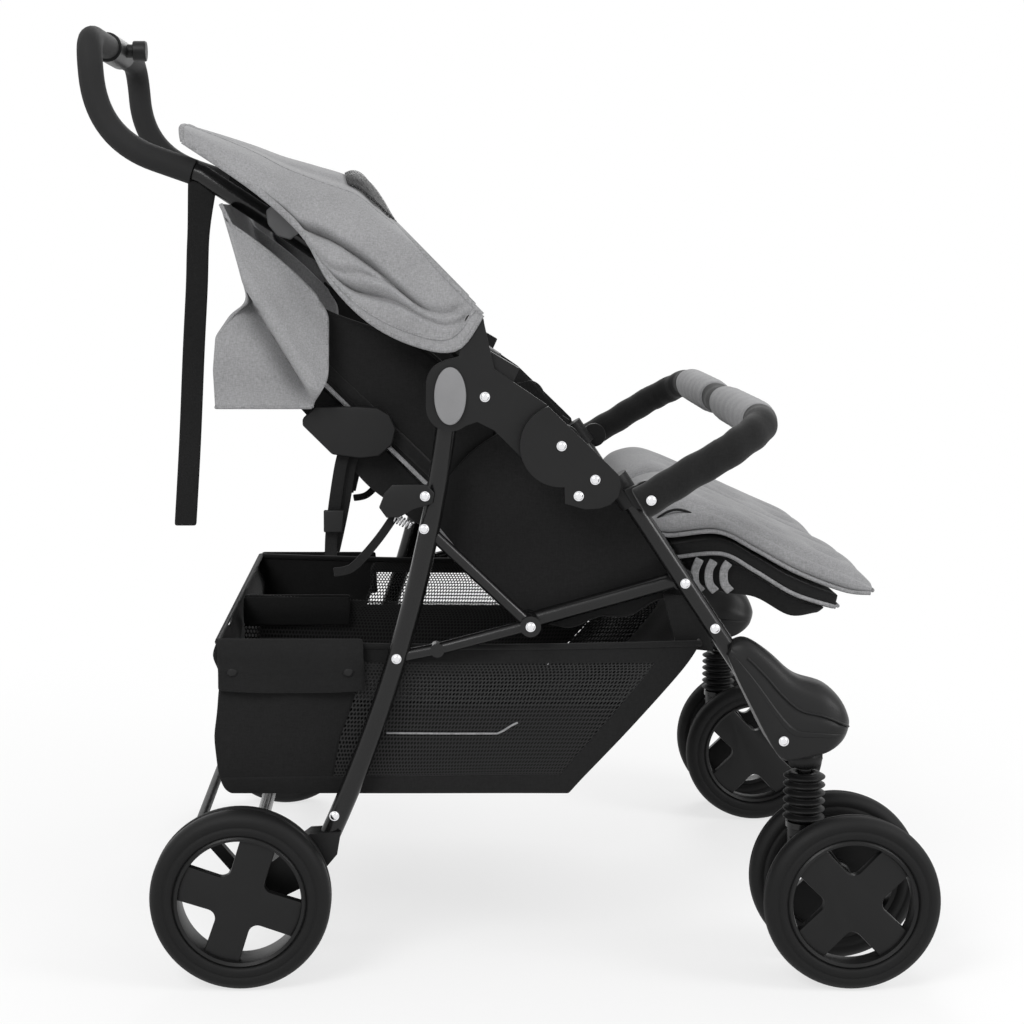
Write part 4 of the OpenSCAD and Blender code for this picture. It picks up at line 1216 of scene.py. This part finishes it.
# %% [markdown]
# The foot covers at the front are the most sculpted mouldings: a thin tongue runs up the leg, and the foot
# swells into a blunt nose over the caster. A bevel would only soften the solid's edges, so a divided cube is
# lofted between an upper and a lower edge, and narrows in plan towards the tongue and the nose.

# %% Foot covers
SWIVEL_X = 323
COVER_TOP = [(243, 359), (258, 364), (282, 349), (302, 333), (322, 324), (343, 314), (359, 298), (367, 279)]
COVER_LOW = [(237, 347), (250, 318), (264, 290), (277, 264), (293, 240), (317, 243), (342, 249), (362, 262)]
COVER_HALF = [(0.0, 17), (0.18, 24), (0.36, 33), (0.54, 40), (0.72, 42.5), (0.86, 40), (0.95, 31), (1.0, 20)]


def cover_point(u, v, w):
    upper, lower = loft(COVER_TOP, COVER_LOW, u)
    across = 2 * v - 1
    crown = (1 - abs(across) ** 3.2) ** 0.6
    rise = w * (0.62 + 0.38 * crown) if w > 0.5 else w
    saddle = 5.0 * math.exp(-((u - 0.52) / 0.12) ** 2) * w * (1 - abs(across) ** 2)
    at = blend_of(lower, upper, rise)
    half = look_up(COVER_HALF, u) * (1 - 0.10 * abs(2 * w - 1) ** 4)
    return mm(at.x, CASTER_Y + half * across, at.y - saddle)


for hand in PAIRS:
    bm = divided_cube(17, on_side(cover_point, hand))
    collar = bmesh.ops.create_cone(bm, segments=48, radius1=0.019, radius2=0.021, depth=0.030, cap_ends=True)
    bmesh.ops.translate(bm, vec=flip(mm(SWIVEL_X, CASTER_Y, 234.2), hand), verts=collar["verts"])
    bmesh.ops.recalc_face_normals(bm, faces=bm.faces[:])
    cover = put(f"foot_cover_{hand}", bm, cover_plastic, "front_frame", "moulded_dark",
                replaces=(f"front_cover_{hand}",))
    soften(cover)
    ridge = line_on(lambda t: cover_point(0.16 + 0.8 * t, 0.985, 0.90), hand)
    piping(f"foot_cover_ridge_{hand}", [ridge], 1.2, cover_plastic, "front_frame", "moulded_dark")
print("foot covers done")

# %% [markdown]
# The rubber bellows round each front stem have six ribs. Stacked rings would leave seams, so one wavy profile
# is spun round the stem.

# %% Bellows
RIBS, RIB_STEPS = 6, 72
BELLOWS_LOW, BELLOWS_HIGH, BELLOWS_BORE = 166.3, 218.7, 10.0
wave = [(19.2 - 2.9 * math.cos(2 * math.pi * RIBS * i / RIB_STEPS),
         BELLOWS_LOW + (BELLOWS_HIGH - BELLOWS_LOW) * i / RIB_STEPS) for i in range(RIB_STEPS + 1)]
for hand in PAIRS:
    y = hand_sign(hand) * CASTER_Y
    bm = bmesh.new()
    spun(bm, [(BELLOWS_BORE, BELLOWS_LOW)] + wave + [(BELLOWS_BORE, BELLOWS_HIGH)],
         Matrix.Translation(mm(SWIVEL_X, y, 0)), 64)
    bmesh.ops.recalc_face_normals(bm, faces=bm.faces[:])
    gaiter = put(f"gaiter_{hand}", bm, gaiter_rubber, f"slider_{hand}", "bellows_rubber",
                 replaces=(f"bellows_{hand}",))
    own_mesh(gaiter)
print("bellows done")

# %% [markdown]
# Fasteners. Each dome-headed bolt is a flattened ball on a thin washer, set on the surface it holds. The pale
# oval caps over the handle's pivots have a rounded rim. A ball alone would look like a bead, and the washer
# gives it the thin bright ring of a bolt.

# %% Bolts and caps
HEAD_RADIUS, WASHER_RADIUS = 0.0045, 0.0052


def bolts(name, places, body, replaces=()):
    bm = bmesh.new()
    for x, y, z in places:
        for sign in (1, -1):
            spot = Matrix.Translation(mm(x, sign * y, z))
            head = bmesh.ops.create_uvsphere(bm, u_segments=24, v_segments=12, radius=HEAD_RADIUS)
            bmesh.ops.transform(bm, matrix=spot @ Matrix.Diagonal((1, 0.55, 1, 1)), verts=head["verts"])
            washer = bmesh.ops.create_cone(bm, segments=28, radius1=WASHER_RADIUS, radius2=WASHER_RADIUS,
                                           depth=0.0014, cap_ends=True)
            bmesh.ops.transform(bm, matrix=spot @ ACROSS, verts=washer["verts"])
    piece = put(name, bm, bolt_metal, body, "bolt_silver", replaces=replaces)
    piece.data.set_sharp_from_angle(angle=math.radians(50))


bolts("front_bolt_heads", [(61, 327.6, 569), (96, 327.6, 534), (79, 327.6, 517), (193, 308.0, 422),
                           (225, 308.0, 374), (293, 341.0, 262)], "front_frame", replaces=("front_bolts",))
bolts("rear_bolt_heads", [(-80, 313.8, 515), (-81, 309.4, 480), (-110, 309.4, 342), (-176, 309.4, 173),
                          (31, 309.2, 376)], "rear_frame")
bolts("knuckle_bolt_heads", [(-18, 317.0, 619)], "handle_frame")
bolts("bumper_bolt_heads", [(151, 354.2, 516)], "bumper")

CAP_SIZE = (0.0165, 0.0300, 0.0046)  # half width, half height and thickness
caps = bmesh.new()
for sign in (1, -1):
    disc = bmesh.ops.create_cone(caps, segments=72, radius1=1.0, radius2=1.0, depth=1.0, cap_ends=True)
    shape = Matrix.Translation(mm(-54, sign * 318.8, 620)) @ ACROSS @ Matrix.Diagonal((*CAP_SIZE, 1))
    bmesh.ops.transform(caps, matrix=shape, verts=disc["verts"])
bmesh.ops.recalc_face_normals(caps, faces=caps.faces[:])
round_edges(caps, sharp_edges(caps, 1.0), 0.0014, 3)
cap_piece = put("pivot_cap_ovals", caps, cap_plastic, "handle_frame", "cap_grey", replaces=("pivot_caps",))
cap_piece.data.set_sharp_from_angle(angle=math.radians(40))
print("bolts and caps done")

# %% [markdown]
# The backrest's side wings are black cloth that fills the space between the pad and the hood. A moulded
# clip sits on each recline tube, and webbing with a flat buckle hangs behind it. The wing could ride with the
# hood, but it turns with the backrest, so it is drawn along the backrest's own slope.

# %% Backrest wings, clips and hanging webbing
WING_Y = 258.6
CLIP = [on_back(s, t) for s, t in ((333, -33), (328, -38), (284, -38), (260, -20), (247, -4), (246, 14), (255, 29),
                                   (270, 35), (285, 31), (300, 18), (320, -2), (333, -14))]
BUCKLE = [(-188, 470), (-168, 470), (-166, 494), (-188, 494)]
RECLINE_WEBBING = {"long": ([(-164, 562), (-170, 540), (-176, 502), (-180, 468), (-181, 444)], 262.0),
                   "loop": ([(-156, 556), (-161, 536), (-166, 505), (-172, 474), (-178, 448)], 256.0)}


def wing_point(u, v):
    base = on_back(blend_of(70, 422, u), 8)
    depth = 8 + 96 * smooth_step(0.0, 0.35, u) * (1 - 0.55 * smooth_step(0.55, 1.0, u))
    top = on_back(blend_of(70, 416, u) + 12 * v, 8 + depth * v)
    sag = 2.0 * math.sin(7 * u + 5 * v) * math.sin(math.pi * v) * math.sin(math.pi * u)
    return mm(blend_of(base[0], top[0], v), WING_Y + sag - 1.5 * v, blend_of(base[1], top[1], v))


def skirt_point(u, v):
    depth = 34 * smooth_step(0.0, 0.35, u) * (1 - 0.25 * smooth_step(0.8, 1.0, u)) + 3 * math.sin(14 * u)
    at = on_back(blend_of(90, 350, u), 4 - (4 + depth) * v)
    return mm(at[0], 252 + 2.0 * math.sin(9 * u + 4 * v), at[1])


def plate_form(name, outline, y0, y1, hands, finish, body, slot, round_by):
    bm = bmesh.new()
    for sign in hands:
        flat = bm.faces.new([bm.verts.new(mm(x, sign * y0, z)) for x, z in outline])
        grown = bmesh.ops.extrude_face_region(bm, geom=[flat])
        bmesh.ops.translate(bm, vec=(0, sign * (y1 - y0) * 0.001, 0), verts=corners_in(grown))
    bmesh.ops.recalc_face_normals(bm, faces=bm.faces[:])
    round_edges(bm, sharp_edges(bm, 0.5), round_by * 0.001, 3)
    put(name, bm, finish, body, slot).data.set_sharp_from_angle(angle=math.radians(40))


def strip_on(route, width, y):
    """A strip of webbing of one width that follows a route of (x, z) places, and sways a little along Y."""
    def place(u, v):
        at = Vector(track(route, v))
        ahead = Vector(track(route, min(v + 0.02, 1.0))) - Vector(track(route, max(v - 0.02, 0.0)))
        side = Vector((-ahead.y, ahead.x)).normalized() * (u - 0.5) * width
        return mm(at.x + side.x, y + 2.5 * math.sin(5 * v + u), at.y + side.y)
    return place


for hand in PAIRS:
    body = f"backrest_{hand}"
    sign = hand_sign(hand)
    cloth_sheet(f"backrest_wing_{hand}", 44, 18, on_side(wing_point, hand), black_cloth, body, "fabric_black", 1.6)
    cloth_sheet(f"backrest_skirt_{hand}", 40, 10, on_side(skirt_point, hand), black_cloth, body, "fabric_black", 1.6)
    piping(f"backrest_wing_hem_{hand}", [line_on(lambda t: wing_point(t, 1.0), hand)], 1.8, black_cloth, body,
           "fabric_black")
    plate_form(f"recline_clip_{hand}", CLIP, 267.2, 274.2, (sign,), cover_plastic, body, "moulded_dark", 2.0)
    for tag, (route, y) in RECLINE_WEBBING.items():
        cloth_sheet(f"recline_webbing_{tag}_{hand}", 5, 36, on_side(strip_on(route, 13.0, y), hand), black_webbing,
                    body, "webbing_black", 1.6)
    plate_form(f"recline_buckle_{hand}", BUCKLE, 264.6, 268.6, (sign,), cover_plastic, body, "moulded_dark", 1.6)
print("wings, clips and webbing done")

# %% [markdown]
# The fold catch on each rear leg is a bent plate bolted to the leg, with a short coil spring below it and a
# webbing tether behind. A spring could be a Screw modifier; as a piped route it needs no modifier at all.

# %% Fold catches
CATCH = [(-128, 503), (-122, 518), (-114, 527), (-78, 527), (-70, 518), (-72, 507), (-92, 501), (-106, 493),
         (-120, 492)]
TETHER = [(-112, 492), (-126, 472), (-142, 452), (-158, 436), (-176, 432)]
SPRING_TURNS = 6


def spring_point(t):
    turn = 2 * math.pi * SPRING_TURNS * t
    return mm(blend_of(-112, -94, t) + 2.0 * math.cos(turn), 304 + 4.2 * math.sin(turn),
              blend_of(491, 482, t) + 3.8 * math.cos(turn))


plate_form("fold_catch", CATCH, 309.2, 313.4, (1, -1), cover_plastic, "rear_frame", "moulded_dark", 1.2)
piping("fold_catch_springs", [line_on(spring_point, hand, 180) for hand in PAIRS], 0.9, spring_metal, "rear_frame",
       "steel")
for hand in PAIRS:
    cloth_sheet(f"fold_tether_{hand}", 4, 20, on_side(strip_on(TETHER, 9.0, 299.0), hand), black_webbing,
                "rear_frame", "webbing_black", 1.6)
print("fold catches done")

# %% [markdown]
# Small parts that catch the eye: a pale tab where each hood meets the handle, elastic loops under the leg
# rest, a black cord of painted shade where the slot in its pad opens, and a darker lining, a drawn cord and a
# folded flap in the basket. Each is a short strip, plate or cord, so the helpers from above make them all.

# %% Hood tabs, leg rest loops and basket lining
TAB = [(-250, 812), (-248, 797), (-238, 785), (-224, 781), (-214, 788), (-214, 800), (-226, 814), (-240, 820)]


def slot_shade_point(t):
    return mm(164 + 44 * t, 259.5, 480 + 9 * math.sin(math.pi * t) + 8 * t)


def cord_point(t):
    return basket_side(0.42 + 0.30 * t, 0.47 + 0.05 * smooth_step(0.9, 1.0, t)) + Vector((0, 0.0012, 0))


def mid_flap_point(u, v):
    return mm(blend_of(-298, -170, u), 6.5 + 5 * math.sin(math.pi * v), 352 - 34 * v)


for hand in PAIRS:
    plate_form(f"hood_tab_{hand}", TAB, 227.6, 233.6, (hand_sign(hand),), cap_plastic, "handle_frame", "cap_grey",
               2.2)
    body = f"legrest_{hand}"
    for k, x in enumerate((213, 228, 244)):
        loop = [(x + 2, 440 - 2 * k), (x - 3, 428), (x - 2, 413), (x + 5, 404)]
        cloth_sheet(f"legrest_elastic_{k}_{hand}", 4, 14, on_side(strip_on(loop, 9.0, 257.4), hand), grey_binding,
                    body, "fabric_grey", 1.2)
    # Painted shade: this black cord stands for the dark inside the slot in the pad.
    piping(f"legrest_pocket_{hand}", [line_on(slot_shade_point, hand, 24)], 1.5, black_cloth, body, "fabric_black")
    lining = part_of(basket_side, 0.29, 0.985, 0.04, 0.60, -4.5)
    cloth_sheet(f"basket_lining_{hand}", 40, 16, on_side(lining, hand), black_cloth, "front_frame", "fabric_black",
                1.0)
    piping(f"basket_cord_{hand}", [line_on(cord_point, hand, 30)], 1.1, grey_binding, "front_frame", "fabric_grey")
    cloth_sheet(f"basket_mid_flap_{hand}", 20, 8, on_side(mid_flap_point, hand), black_cloth, "front_frame",
                "fabric_black", 1.4)
print("small cloth parts done")

# %% [markdown]
# When the frame folds, its legs close up and the real basket crumples between them, and the curtains crease.
# Nothing here makes the cloth give way: the basket's pieces, each curtain and the carry strap only get their
# own copy of their mesh data.

# %% Own mesh copies for the basket, curtains and carry strap
CURTAIN_MIDDLE, CURTAIN_KEEP = 0.150, 0.78
for piece in list(bpy.data.objects):
    if piece.name.startswith("basket_"):
        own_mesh(piece)
    elif piece.name.startswith("curtain_"):
        middle_y = CURTAIN_MIDDLE if piece.name.endswith("left") else -CURTAIN_MIDDLE
        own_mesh(piece)
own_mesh(bpy.data.objects["carry_webbing"])
